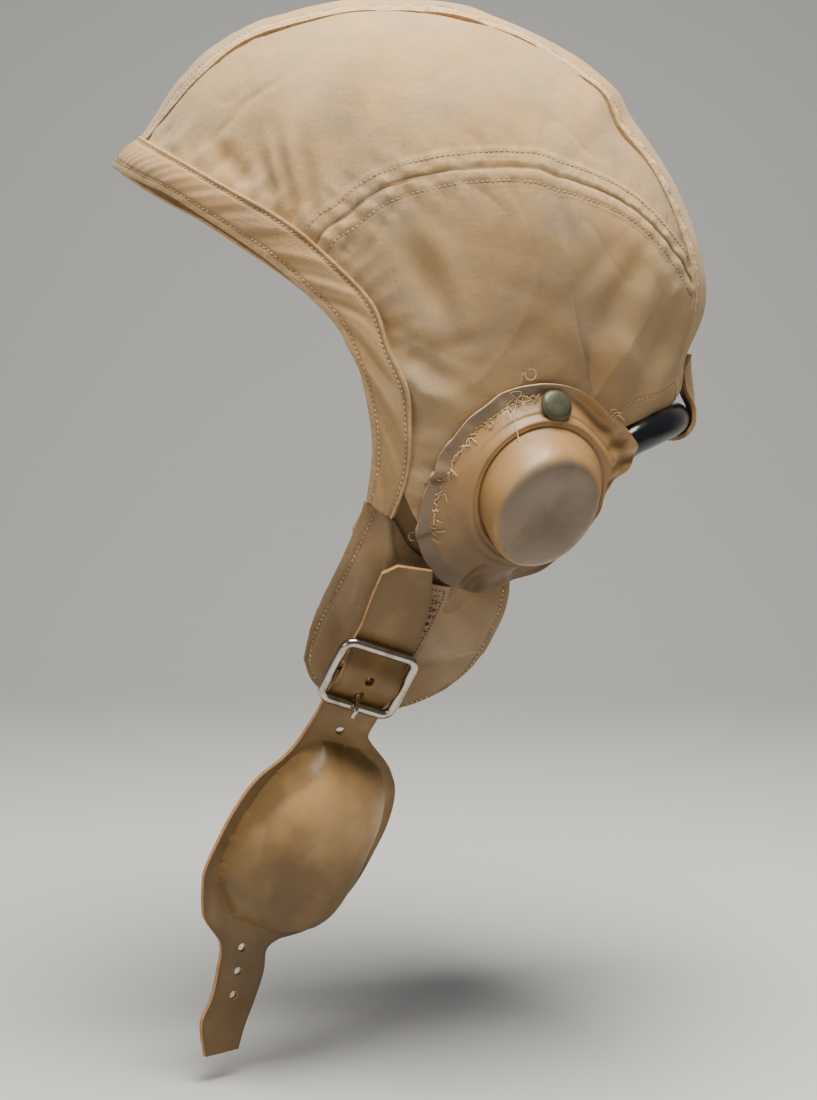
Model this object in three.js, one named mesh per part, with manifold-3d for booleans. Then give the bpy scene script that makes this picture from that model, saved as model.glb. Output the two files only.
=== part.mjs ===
// A cloth flying helmet with leather ear cups, a nape tube and a leather chin strap with a cup.
// Millimetres, +Z up, face toward -Y, the wearer's left at +X.
// The origin is the seat on the top of the head, under the highest point of the crown.

import * as THREE from 'three';
import { mergeVertices } from 'three/addons/utils/BufferGeometryUtils.js';
import Module from 'manifold-3d';

const wasm = await Module();
wasm.setup();

// Driving dimensions

const CLOTH = 1.6;            // two layers of twill
const BAND_CLOTH = 2.4;       // the folded edge band
const FLAP_CLOTH = 2.0;       // the cheek flap
const CUP_LEATHER = 2.0;
const STRAP_LEATHER = 2.2;
const TAB_LEATHER = 2.6;      // two plies, stitched together
const GAP = 0.3;              // clearance between pieces that touch
const SEAM = 0.5;             // what each side of a seam leaves of it

// The form of the head side: each half is a dome on a side view outline.
// A side view direction is an angle at the pole, 0 toward the back and 90 toward the top.
const HEAD = { halfWidth: 80, poleY: 20, poleZ: -105.5, roundness: 2.15 };

// Side view outline: brow, crown and nape of the cloth, then the line of the jaw and face.
const OUTLINE = [
  { y: -98.9, z: -49.3 },
  { y: -84.5, z: -28.4 },
  { y: -67.6, z: -13.5 },
  { y: -43.4, z: -3.7 },
  { y: -23.5, z: 0.7 },
  { y: -4, z: 1.6 },
  { y: 15, z: 0.2 },
  { y: 38, z: -6.1 },
  { y: 69.6, z: -22.7 },
  { y: 82, z: -32.9 },
  { y: 88.6, z: -43.5 },
  { y: 104.8, z: -69 },
  { y: 116, z: -99 },
  { y: 116.3, z: -113.5 },
  { y: 109.7, z: -132.5 },
  { y: 107.5, z: -149.5 },
  { y: 98, z: -173.5 },
  { y: 66, z: -233.5 },
  { y: -5, z: -293.5 },
  { y: -83, z: -269.5 },
  { y: -112, z: -171.5 },
  { y: -114, z: -91.5 },
  { y: -109.6, z: -60.7 },
];

// Half width of the strip over the crown, by side view direction.
const STRIP = [
  { angle: 160, half: 22 },
  { angle: 155, half: 25 },
  { angle: 145, half: 32 },
  { angle: 120, half: 34 },
  { angle: 0, half: 34 },
  { angle: -20, half: 27 },
  { angle: -32, half: 20 },
];
const NAPE_ANGLE = -23.5;     // where the strip ends at the nape, on the middle line

// Edges and seams on the side of the head, as side view points.
const BAND_EDGE = [
  { y: -11, z: -185.5 },
  { y: -8.9, z: -164.5 },
  { y: -12.2, z: -143.5 },
  { y: -18.4, z: -129.5 },
  { y: -29.6, z: -115.5 },
  { y: -46.2, z: -101.1 },
  { y: -80, z: -78.3 },
  { y: -96, z: -69.9 },
  { y: -109.6, z: -60.7 },
];
const BAND_SEAM = [
  { y: -2, z: -192 },
  { y: 3.4, z: -178.3 },
  { y: 5, z: -161.5 },
  { y: 2.7, z: -142.5 },
  { y: -6, z: -121.1 },
  { y: -23.4, z: -100.5 },
  { y: -39.7, z: -87.1 },
  { y: -65.7, z: -71.9 },
  { y: -78.6, z: -63.9 },
  { y: -91, z: -56 },
  { y: -98.9, z: -49.3 },
];
const ARC_SEAM = [
  { y: -29, z: -95.9 },
  { y: -18, z: -86.2 },
  { y: 5, z: -73.2 },
  { y: 28.7, z: -69.4 },
  { y: 51.6, z: -70.2 },
  { y: 79, z: -79.9 },
  { y: 97.7, z: -94.5 },
  { y: 105.5, z: -106.5 },
];
const HEM = [
  { y: 101.5, z: -149 },
  { y: 93.2, z: -152.4 },
  { y: 81, z: -158.2 },
  { y: 72.6, z: -162.4 },
  { y: 69, z: -168.5 },
  { y: 70.5, z: -179.5 },
  { y: 68, z: -192.5 },
  { y: 60.8, z: -204 },
  { y: 41.1, z: -213.7 },
  { y: 25.8, z: -209.5 },
  { y: 15, z: -200.9 },
  { y: 8, z: -189.5 },
  { y: 4.4, z: -179 },
];
const FLAP_TOP = [
  { y: -11, z: -186.1 },
  { y: -2, z: -192.6 },
  { y: 4.4, z: -203.5 },
  { y: 14, z: -209 },
  { y: 25.8, z: -211.5 },
  { y: 40.8, z: -215.3 },
];
const FLAP_FRONT = [
  { y: -11, z: -186.1 },
  { y: -20.2, z: -207 },
  { y: -30.7, z: -229.3 },
  { y: -34.8, z: -244.5 },
];
const FLAP_BOTTOM = [
  { y: -34.8, z: -244.5 },
  { y: -31.2, z: -253.5 },
  { y: -21.6, z: -261.1 },
  { y: -9, z: -264.5 },
  { y: 4, z: -263 },
  { y: 19, z: -255 },
];
const FLAP_BACK = [
  { y: 40.8, z: -215.3 },
  { y: 38.5, z: -228.5 },
  { y: 31, z: -243 },
  { y: 19, z: -255 },
];

// The main folds of the cloth: middle, heading in the side view, length, width and depth.
const FOLDS = [
  { y: -52, z: -59.5, heading: 62, length: 34, width: 7, depth: -1.6 },
  { y: -38, z: -63.5, heading: 72, length: 36, width: 6, depth: 1.5 },
  { y: -24, z: -61.5, heading: 80, length: 38, width: 7, depth: -1.4 },
  { y: 8, z: -104.5, heading: -66, length: 46, width: 8, depth: -1.8 },
  { y: 9, z: -145.5, heading: -40, length: 24, width: 6, depth: 1.4 },
  { y: 83, z: -48.5, heading: -70, length: 26, width: 7, depth: -2.0 },
  { y: 96, z: -111.5, heading: -105, length: 50, width: 7, depth: -2.2 },
  { y: 86, z: -125.5, heading: -118, length: 44, width: 8, depth: 1.8 },
];

// The ear cup: its axis, and the flange from it, 0 toward the back and 90 up. The drape says
// how closely the flange follows the head; at the back no cloth lies under it.
const EAR = { y: 45.6, z: -181.5, holeRadius: 20 };
const EAR_AXIS = new THREE.Vector3(0.88, 0.38, -0.28).normalize();
const FLANGE = [
  { angle: 3, reach: 34, drape: 0.38 },
  { angle: 16, reach: 44.7, drape: 0.42 },
  { angle: 25, reach: 44.2, drape: 0.45 },
  { angle: 44, reach: 39.8, drape: 0.55 },
  { angle: 66, reach: 39.6, drape: 0.9 },
  { angle: 88, reach: 38.5, drape: 1 },
  { angle: 108, reach: 36.7, drape: 1 },
  { angle: 137, reach: 34.2, drape: 1 },
  { angle: 167, reach: 35, drape: 1 },
  { angle: 190, reach: 38.3, drape: 1 },
  { angle: 208, reach: 43.1, drape: 1 },
  { angle: 229, reach: 44.7, drape: 1 },
  { angle: 244, reach: 42.6, drape: 1 },
  { angle: 258, reach: 38, drape: 0.95 },
  { angle: 275, reach: 33.5, drape: 0.8 },
  { angle: 320, reach: 31, drape: 0.5 },
  { angle: 345, reach: 31.5, drape: 0.38 },
];
// The dome's section from the middle of its face outward. top is the share of the face's lean.
const DOME_SECTION = [
  { radius: 8, height: 19.9, top: 1 },
  { radius: 15, height: 20.8, top: 1 },
  { radius: 19, height: 20.3, top: 1 },
  { radius: 21.6, height: 17.9, top: 0.92 },
  { radius: 23, height: 13.6, top: 0.6 },
  { radius: 23.8, height: 7.6, top: 0 },
];
const DOME = { baseRight: 2.5, baseUp: 1, faceRight: 0, faceUp: -2.9, middle: 19.2 };
const FACE_LEAN = { right: -0.172, up: 0.178 };
// The shoulder and flange, as shares of the way from the dome's foot to the flange's edge.
const FLANGE_SECTION = [
  { share: 0.22, height: 7.3 },
  { share: 0.44, height: 5.2 },
  { share: 0.7, height: 3.1 },
  { share: 1, height: 3 },
];
const CUP_SIDES = 24;

const SNAP = { angle: 83, reach: 31.4, radius: 5.9, height: 2.2 };

// The chin strap from its free end down to its tail: middle line, facing and half widths.
// yaw turns its face back from +X and pitch turns it down; front and back are half widths.
const STRAP = [
  { x: 75.4, y: 4.3, z: -209, yaw: 12, pitch: 22, front: 8.2, back: 8.6 },
  { x: 71.8, y: 1.2, z: -221.5, yaw: 10, pitch: 25, front: 10.4, back: 10.8 },
  { x: 67.6, y: -4.3, z: -238.2, yaw: 8, pitch: 27, front: 11.2, back: 11.2 },
  { x: 63.1, y: -10.6, z: -250.1, yaw: 8, pitch: 27, front: 11.3, back: 11.3 },
  { x: 57.2, y: -16.6, z: -262.5, yaw: 9, pitch: 26, front: 11.2, back: 11.1 },
  { x: 52.6, y: -21.6, z: -271.8, yaw: 13, pitch: 22, front: 11.8, back: 11.8 },
  { x: 48, y: -27, z: -283, yaw: 18, pitch: 16, front: 14.2, back: 28 },
  { x: 46.4, y: -31.8, z: -294.5, yaw: 23, pitch: 11, front: 21.4, back: 34.3 },
  { x: 46.3, y: -38, z: -307.5, yaw: 26, pitch: 8, front: 25.2, back: 35.4 },
  { x: 47.3, y: -44.7, z: -322.1, yaw: 28, pitch: 6, front: 26.6, back: 33.6 },
  { x: 49.2, y: -50.6, z: -335.3, yaw: 29, pitch: 4, front: 26, back: 26.4 },
  { x: 50.8, y: -55.6, z: -345.5, yaw: 30, pitch: 4, front: 19.6, back: 14.6 },
  { x: 51.4, y: -57.7, z: -351.9, yaw: 30, pitch: 4, front: 9.2, back: 10.4 },
  { x: 51.9, y: -59.3, z: -361.1, yaw: 31, pitch: 3, front: 8.2, back: 10.6 },
  { x: 52.7, y: -61.4, z: -371.9, yaw: 33, pitch: 2, front: 8.6, back: 9.2 },
  { x: 53.6, y: -63.2, z: -381.1, yaw: 34, pitch: 1, front: 10.8, back: 7.4 },
  { x: 55, y: -65.4, z: -393.5, yaw: 35, pitch: 0, front: 6.8, back: 6 },
];
// The chin cup's dome on the strap, by distance along it and across it.
const CHIN_DOME = { along: 115.5, across: 1.5, halfLength: 37.5, halfWidth: 24.5, height: 19 };
const STRAP_HOLES = [
  { along: 45.4, radius: 1.9 },
  { along: 71.6, radius: 1.7 },
  { along: 162, radius: 1.6 },
  { along: 171, radius: 1.6 },
  { along: 180, radius: 1.6 },
];
const PRONG_HOLE = { along: 55.2, length: 8, width: 3.4 };

// The buckle: a bent wire frame with a middle bar, on the strap's third row from the bar.
const BUCKLE = { along: 46.2, halfLength: 12.7, halfWidth: 13.7, wire: 1.75, corner: 3.6 };
const BAR = { radius: 1.2, drop: 2.2 };
const PRONG = { radius: 0.9, ring: 2.45 };
// How far the strap stands from its middle line where it passes the bars.
const WEAVE = { under: -3.25, over: 2.5, fade: 9 };

const TAB = { top: 5, topShift: 5.4, halfWidth: 10.4, slot: 2.6 };
const NECK = { up: 3.4, out: -4.8, length: 4.6, height: 4.4 };

// The tube round the nape, from under one ear cup to under the other, left half to the middle.
const TUBE_RADIUS = 6.2;
const TUBE = [
  { x: 47.2, y: 76.4, z: -172.1 },
  { x: 45.2, y: 82.2, z: -166.3 },
  { x: 38, y: 92.8, z: -161.3 },
  { x: 21, y: 101.8, z: -158.1 },
  { x: 0, y: 105.6, z: -156.9 },
];
const LOOP = { halfWidth: 9, cloth: 1.6, clear: 0.9 };
// The loop's outer face behind the strip's end: height and how far it stands off the strip.
const LOOP_DROP = [
  { z: -132.5, off: 0 },
  { z: -139.5, off: 1.6 },
  { z: -147.5, off: 3.4 },
];

// Materials

const finish = (color, roughness, metalness = 0) =>
  new THREE.MeshStandardMaterial({ color, roughness, metalness });
const TWILL = finish(0xc4a882, 0.9);
const BAND_TWILL = finish(0xbd9c6f, 0.9);
const CUP_FINISH = finish(0xa58a6a, 0.5);
const STRAP_FINISH = finish(0x86704a, 0.6);
const SNAP_PAINT = finish(0x7a7660, 0.5, 0.6);
const NICKEL = finish(0xb9b2a2, 0.3, 1);
const RUBBER = finish(0x101418, 0.35);

// Small mathematics

const { cos, sin, hypot, PI } = Math;
const radians = (degrees) => (degrees * PI) / 180;
const mix = (a, b, share) => a + (b - a) * share;
const clamp01 = (value) => Math.min(1, Math.max(0, value));
const smooth = (low, high, value) => {
  const share = clamp01((value - low) / (high - low));
  return share * share * (3 - 2 * share);
};
const vec = (x, y, z) => new THREE.Vector3(x, y, z);

// A smooth function through table rows: key against value, periodic when period is given.
function tableCurve(rows, key, value, period = 0) {
  const sorted = [...rows].sort((a, b) => a[key] - b[key]);
  const xs = sorted.map((row) => row[key]);
  const ys = sorted.map((row) => row[value]);
  if (period) {
    xs.unshift(xs.at(-1) - period);
    ys.unshift(ys.at(-1));
    xs.unshift(xs.at(-2) - period);
    ys.unshift(ys.at(-2));
    xs.push(xs[2] + period, xs[3] + period);
    ys.push(ys[2], ys[3]);
  }
  const slopes = xs.map((x, i) => {
    const before = Math.max(0, i - 1);
    const after = Math.min(xs.length - 1, i + 1);
    return (ys[after] - ys[before]) / (xs[after] - xs[before]);
  });
  return (input) => {
    let at = input;
    if (period) {
      while (at < xs[1]) at += period;
      while (at >= xs[1] + period) at -= period;
    } else {
      at = Math.min(xs.at(-1), Math.max(xs[0], at));
    }
    let i = 0;
    while (i < xs.length - 2 && at > xs[i + 1]) i += 1;
    const span = xs[i + 1] - xs[i];
    const s = (at - xs[i]) / span;
    const s2 = s * s;
    const s3 = s2 * s;
    return (2 * s3 - 3 * s2 + 1) * ys[i] + (s3 - 2 * s2 + s) * span * slopes[i]
      + (3 * s2 - 2 * s3) * ys[i + 1] + (s3 - s2) * span * slopes[i + 1];
  };
}

// The head form

const outlineRows = OUTLINE.map(({ y, z }) => ({
  angle: Math.atan2(z - HEAD.poleZ, y - HEAD.poleY),
  reach: hypot(y - HEAD.poleY, z - HEAD.poleZ),
}));
const outlineReach = tableCurve(outlineRows, 'angle', 'reach', 2 * PI);

// How far out a side view point lies, 0 at the pole and 1 on the outline.
function spread(y, z) {
  const angle = Math.atan2(z - HEAD.poleZ, y - HEAD.poleY);
  return hypot(y - HEAD.poleY, z - HEAD.poleZ) / outlineReach(angle);
}

// Disc coordinates flatten one half of the head: the pole at 0 and the middle line at 1.
function discAt(angle, bend) {
  return new THREE.Vector2(bend * cos(angle), bend * sin(angle));
}

function discOf({ y, z }) {
  const bend = Math.asin(clamp01(spread(y, z)) ** (HEAD.roundness / 2)) / (PI / 2);
  return discAt(Math.atan2(z - HEAD.poleZ, y - HEAD.poleY), bend);
}

function headPoint(disc) {
  const angle = Math.atan2(disc.y, disc.x);
  const turn = Math.min(1, disc.length()) * (PI / 2);
  const reach = outlineReach(angle) * sin(turn) ** (2 / HEAD.roundness);
  const x = HEAD.halfWidth * cos(turn);
  return vec(x, HEAD.poleY + reach * cos(angle), HEAD.poleZ + reach * sin(angle));
}

function headLevel(point) {
  return (point.x / HEAD.halfWidth) ** 2 + spread(point.y, point.z) ** HEAD.roundness - 1;
}

function headNormal(point) {
  const step = 0.05;
  const slope = (axis) => {
    const ahead = point.clone().addScaledVector(axis, step);
    const behind = point.clone().addScaledVector(axis, -step);
    return headLevel(ahead) - headLevel(behind);
  };
  return vec(slope(vec(1, 0, 0)), slope(vec(0, 1, 0)), slope(vec(0, 0, 1))).normalize();
}

function foldDepth(y, z) {
  return FOLDS.reduce((sum, fold) => {
    const heading = radians(fold.heading);
    const along = (y - fold.y) * cos(heading) + (z - fold.z) * sin(heading);
    const across = (z - fold.z) * cos(heading) - (y - fold.y) * sin(heading);
    const fade = Math.exp(-((across / fold.width) ** 2) - (along / (fold.length / 2)) ** 2);
    return sum + fold.depth * fade;
  }, 0);
}

// Solids from grids

function solidFrom(positions, triangles) {
  const geometry = new THREE.BufferGeometry();
  geometry.setAttribute('position', new THREE.Float32BufferAttribute(positions, 3));
  geometry.setIndex(triangles);
  return facingOut(geometry);
}

function signedVolume(geometry) {
  const p = geometry.getAttribute('position');
  const index = geometry.getIndex();
  const corner = (i) => new THREE.Vector3().fromBufferAttribute(p, index.getX(i));
  let volume = 0;
  for (let i = 0; i < index.count; i += 3) {
    volume += corner(i).dot(corner(i + 1).cross(corner(i + 2))) / 6;
  }
  return volume;
}

function facingOut(geometry) {
  if (signedVolume(geometry) < 0) {
    const order = geometry.getIndex().array;
    for (let i = 0; i < order.length; i += 3) {
      [order[i + 1], order[i + 2]] = [order[i + 2], order[i + 1]];
    }
  }
  return geometry;
}

// A closed wall between an outer and an inner grid of points with the same rows and columns.
function wallFrom(outer, inner) {
  const rows = outer.length;
  const columns = outer[0].length;
  const positions = [];
  for (const grid of [outer, inner]) {
    for (const row of grid) {
      for (const point of row) positions.push(point.x, point.y, point.z);
    }
  }
  const at = (side, i, j) => side * rows * columns + i * columns + j;
  const triangles = [];
  const quad = (a, b, c, d) => triangles.push(a, b, c, a, c, d);
  for (let i = 0; i < rows - 1; i += 1) {
    for (let j = 0; j < columns - 1; j += 1) {
      quad(at(0, i, j), at(0, i + 1, j), at(0, i + 1, j + 1), at(0, i, j + 1));
      quad(at(1, i, j), at(1, i, j + 1), at(1, i + 1, j + 1), at(1, i + 1, j));
    }
    quad(at(0, i, 0), at(1, i, 0), at(1, i + 1, 0), at(0, i + 1, 0));
    const last = columns - 1;
    quad(at(0, i, last), at(0, i + 1, last), at(1, i + 1, last), at(1, i, last));
  }
  for (let j = 0; j < columns - 1; j += 1) {
    quad(at(0, 0, j), at(0, 0, j + 1), at(1, 0, j + 1), at(1, 0, j));
    const last = rows - 1;
    quad(at(0, last, j), at(1, last, j), at(1, last, j + 1), at(0, last, j + 1));
  }
  return solidFrom(positions, triangles);
}

// Draws the border of a grid in by a small distance, so that neighbours keep a seam's gap.
function drawIn(grid, distance) {
  const rows = grid.length - 1;
  const columns = grid[0].length - 1;
  const pull = (i, j, k, l) => {
    const step = grid[k][l].clone().sub(grid[i][j]).setLength(distance);
    grid[i][j].add(step);
  };
  for (let j = 0; j <= columns; j += 1) {
    pull(0, j, 1, j);
    pull(rows, j, rows - 1, j);
  }
  for (let i = 0; i <= rows; i += 1) {
    pull(i, 0, i, 1);
    pull(i, columns, i, columns - 1);
  }
}

// A wall of cloth on the head: place gives a disc point, and a sign for the side of the head.
function headWall(rows, columns, place, { thickness, lift = 0, folded = true }) {
  const outer = [];
  for (let i = 0; i <= rows; i += 1) {
    const row = [];
    for (let j = 0; j <= columns; j += 1) {
      const { disc, side } = place(i / rows, j / columns);
      const point = headPoint(disc);
      point.x *= side;
      row.push(point);
    }
    outer.push(row);
  }
  drawIn(outer, SEAM);
  const inner = outer.map((row) => row.map((point) => {
    const normal = headNormal(point);
    const rise = lift + (folded ? foldDepth(point.y, point.z) * smooth(0, 22, Math.abs(point.x)) : 0);
    const under = point.clone().addScaledVector(normal, rise - thickness);
    point.addScaledVector(normal, rise);
    return under;
  }));
  return wallFrom(outer, inner);
}

// Seams as curves in disc coordinates

function seamCurve(rows) {
  return new THREE.SplineCurve(rows.map(discOf));
}

const stripHalf = tableCurve(STRIP, 'angle', 'half');

function stripEdge(degrees) {
  const bend = Math.acos(stripHalf(degrees) / HEAD.halfWidth) / (PI / 2);
  return discAt(radians(degrees), bend);
}

const directionOf = (disc) => (Math.atan2(disc.y, disc.x) * 180) / PI;

// The point where a seam first comes within the strip's edge, as a share of the seam.
function meetsStrip(curve, from, to) {
  let inside = from;
  let outside = to;
  for (let i = 0; i < 40; i += 1) {
    const middle = (inside + outside) / 2;
    const disc = curve.getPointAt(middle);
    if (disc.length() > stripEdge(directionOf(disc)).length()) outside = middle;
    else inside = middle;
  }
  return inside;
}

const bandSeam = seamCurve(BAND_SEAM);
const bandEdge = seamCurve(BAND_EDGE);
const arcSeam = seamCurve(ARC_SEAM);

// A four-sided patch from its four border curves, each a function of 0 to 1.
function patch(top, bottom, left, right) {
  return (u, v) => {
    const disc = new THREE.Vector2();
    const corner = (share, point) => disc.addScaledVector(point, share);
    corner(1 - v, top(u));
    corner(v, bottom(u));
    corner(1 - u, left(v));
    corner(u, right(v));
    corner(-(1 - u) * (1 - v), top(0));
    corner(-u * (1 - v), top(1));
    corner(-(1 - u) * v, bottom(0));
    corner(-u * v, bottom(1));
    return { disc, side: 1 };
  };
}

const arcStart = 0.5;
const nearest = (curve, target) => {
  let best = arcStart;
  let least = Infinity;
  for (let i = 0; i <= 400; i += 1) {
    const gap = curve.getPointAt(i / 400).distanceTo(target);
    if (gap < least) {
      least = gap;
      best = i / 400;
    }
  }
  return best;
};
const bandAtStrip = meetsStrip(bandSeam, 0.3, 1);
const bandAtArc = nearest(bandSeam, discOf(ARC_SEAM[0]));
const bandAtHem = nearest(bandSeam, discOf(HEM.at(-1)));
const stripFront = directionOf(bandSeam.getPointAt(bandAtStrip));
const stripArc = directionOf(discOf(ARC_SEAM.at(-1)));
const stripHem = directionOf(discOf(HEM[0]));
const ARC_TIP = 4;            // degrees of strip seam along the crown panel's back end

function panelRun(curve, from, to) {
  return (share) => curve.getPointAt(mix(from, to, share));
}

// Curves that end exactly on a given disc point, whatever their own last point.
function endingOn(run, start, finishPoint) {
  const first = start ? start.clone().sub(run(0)) : new THREE.Vector2();
  const last = finishPoint ? finishPoint.clone().sub(run(1)) : new THREE.Vector2();
  return (share) => run(share).clone()
    .addScaledVector(first, (1 - share) ** 3)
    .addScaledVector(last, share ** 3);
}

const arcFromBand = bandSeam.getPointAt(bandAtArc);
const hemAtStrip = stripEdge(stripHem);
const hemAtBand = bandSeam.getPointAt(bandAtHem);
const arcRun = endingOn(panelRun(arcSeam, 0, 1), arcFromBand, stripEdge(stripArc));

function crownPanel() {
  const top = (u) => stripEdge(mix(stripFront, stripArc + ARC_TIP, u));
  const left = (v) => bandSeam.getPointAt(mix(bandAtStrip, bandAtArc, v));
  const right = (v) => stripEdge(stripArc + ARC_TIP * (1 - v));
  return headWall(16, 7, patch(top, arcRun, left, right), { thickness: CLOTH });
}

function sidePanel() {
  const hem = seamCurve(HEM);
  const right = (v) => stripEdge(mix(stripArc, stripHem, v));
  const left = (v) => bandSeam.getPointAt(mix(bandAtArc, bandAtHem, v));
  const bottom = endingOn((u) => hem.getPointAt(1 - u), hemAtBand, hemAtStrip);
  const panel = headWall(15, 9, patch(arcRun, bottom, left, right), { thickness: CLOTH });
  return cut(panel, earHole());
}

function centreStrip() {
  const place = (u, v) => {
    const across = 2 * v - 1;
    const front = mix(bandFrontDirection, stripFront, Math.abs(across) ** 2);
    const back = mix(NAPE_ANGLE, stripHem, Math.abs(across) ** 2);
    const degrees = mix(front, back, u);
    const bend = Math.acos((stripHalf(degrees) * Math.abs(across)) / HEAD.halfWidth) / (PI / 2);
    return { disc: discAt(radians(degrees), bend), side: across < 0 ? -1 : 1 };
  };
  return headWall(28, 6, place, { thickness: CLOTH });
}

const bandFrontDirection = directionOf(discOf(BAND_SEAM.at(-1)));

function browBand() {
  const place = (u, v) => {
    const along = 1 - Math.abs(2 * u - 1);
    const edge = bandEdge.getPointAt(along);
    const seam = bandSeam.getPointAt(along);
    return { disc: edge.lerp(seam, v), side: u < 0.5 ? 1 : -1 };
  };
  return headWall(56, 2, place, { thickness: BAND_CLOTH, lift: 0.6, folded: false });
}

function cheekFlap() {
  const runOf = (rows) => {
    const curve = seamCurve(rows);
    return (share) => curve.getPointAt(share);
  };
  const place = patch(runOf(FLAP_TOP), runOf(FLAP_BOTTOM), runOf(FLAP_FRONT), runOf(FLAP_BACK));
  return headWall(10, 7, place, { thickness: FLAP_CLOTH, folded: false });
}

// Joining and cutting

function toManifold(geometry) {
  const bare = geometry.clone();
  for (const name of Object.keys(bare.attributes)) {
    if (name !== 'position') bare.deleteAttribute(name);
  }
  const merged = mergeVertices(bare, 1e-4);
  return new wasm.Manifold(new wasm.Mesh({
    numProp: 3,
    vertProperties: new Float32Array(merged.getAttribute('position').array),
    triVerts: new Uint32Array(merged.getIndex().array),
  }));
}

function fromManifold(solid) {
  const mesh = solid.getMesh();
  const geometry = new THREE.BufferGeometry();
  geometry.setAttribute('position', new THREE.BufferAttribute(mesh.vertProperties, 3));
  geometry.setIndex(new THREE.BufferAttribute(mesh.triVerts, 1));
  return geometry;
}

function cut(geometry, ...tools) {
  let solid = toManifold(geometry);
  for (const tool of tools) solid = solid.subtract(toManifold(tool));
  return fromManifold(solid);
}

function join(geometry, ...others) {
  let solid = toManifold(geometry);
  for (const other of others) solid = solid.add(toManifold(other));
  return fromManifold(solid);
}

// Places a geometry whose own Z axis is turned to a direction, with its X axis near a side.
function placed(geometry, origin, z, side) {
  const x = side.clone().addScaledVector(z, -side.dot(z)).normalize();
  const y = new THREE.Vector3().crossVectors(z, x);
  const matrix = new THREE.Matrix4().makeBasis(x, y, z).setPosition(origin);
  return geometry.clone().applyMatrix4(matrix);
}

function roundBar(from, to, radius, sides) {
  const axis = to.clone().sub(from);
  const bar = new THREE.CylinderGeometry(radius, radius, axis.length(), sides);
  bar.rotateX(PI / 2);
  const middle = from.clone().add(to).multiplyScalar(0.5);
  const side = Math.abs(axis.x) > Math.abs(axis.z) ? vec(0, 0, 1) : vec(1, 0, 0);
  return placed(bar, middle, axis.normalize(), side);
}

function mirrored(geometry) {
  const copy = geometry.clone().scale(-1, 1, 1);
  const merged = copy.getIndex() ? copy : mergeVertices(copy);
  return facingOut(merged);
}

// The ear cup

const earCentre = headPoint(discOf(EAR));
const earBack = new THREE.Vector3().crossVectors(vec(0, 0, 1), EAR_AXIS).normalize();
const earUp = new THREE.Vector3().crossVectors(EAR_AXIS, earBack);

function earPlace(right, up, height) {
  return earCentre.clone()
    .addScaledVector(earBack, right)
    .addScaledVector(earUp, up)
    .addScaledVector(EAR_AXIS, height);
}

// Height of the head's surface over the plane at the ear, found by halving.
function headHeight(right, up) {
  let low = -45;
  let high = 12;
  for (let i = 0; i < 30; i += 1) {
    const middle = (low + high) / 2;
    if (headLevel(earPlace(right, up, middle)) < 0) low = middle;
    else high = middle;
  }
  return high;
}

const flangeReach = tableCurve(FLANGE, 'angle', 'reach', 360);
const flangeDrape = tableCurve(FLANGE, 'angle', 'drape', 360);
const domeFoot = DOME_SECTION.at(-1);

// A point of the dome at a turn round its own middle.
function domePoint(degrees, { radius, height, top }) {
  const right = mix(DOME.baseRight, DOME.faceRight, top) + radius * cos(radians(degrees));
  const up = mix(DOME.baseUp, DOME.faceUp, top) + radius * sin(radians(degrees));
  const lean = FACE_LEAN.right * right + FACE_LEAN.up * (up - DOME.faceUp);
  return earPlace(right, up, height + top * lean);
}

// A point of the shoulder or flange, from the dome's foot at share 0 to the edge at share 1.
function flangePoint(degrees, share, height) {
  const turn = radians(degrees);
  const footRight = DOME.baseRight + domeFoot.radius * cos(turn);
  const footUp = DOME.baseUp + domeFoot.radius * sin(turn);
  const reach = Math.max(flangeReach(degrees), hypot(footRight, footUp) + 2.5);
  const right = mix(footRight, reach * cos(turn), share);
  const up = mix(footUp, reach * sin(turn), share);
  const drape = flangeDrape(degrees) * smooth(0, 0.6, share) * headHeight(right, up);
  return earPlace(right, up, height + drape);
}

// All the rings of the cup from the face outward, each a function of the turn.
function cupRings() {
  return [
    ...DOME_SECTION.map((row) => (degrees) => domePoint(degrees, row)),
    ...FLANGE_SECTION.map((row) => (degrees) => flangePoint(degrees, row.share, row.height)),
  ];
}

function cupNormal(ring, before, after, degrees) {
  const step = 3;
  const round = ring(degrees + step).sub(ring(degrees - step));
  const outward = after(degrees).sub(before(degrees));
  return new THREE.Vector3().crossVectors(outward, round).normalize();
}

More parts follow.
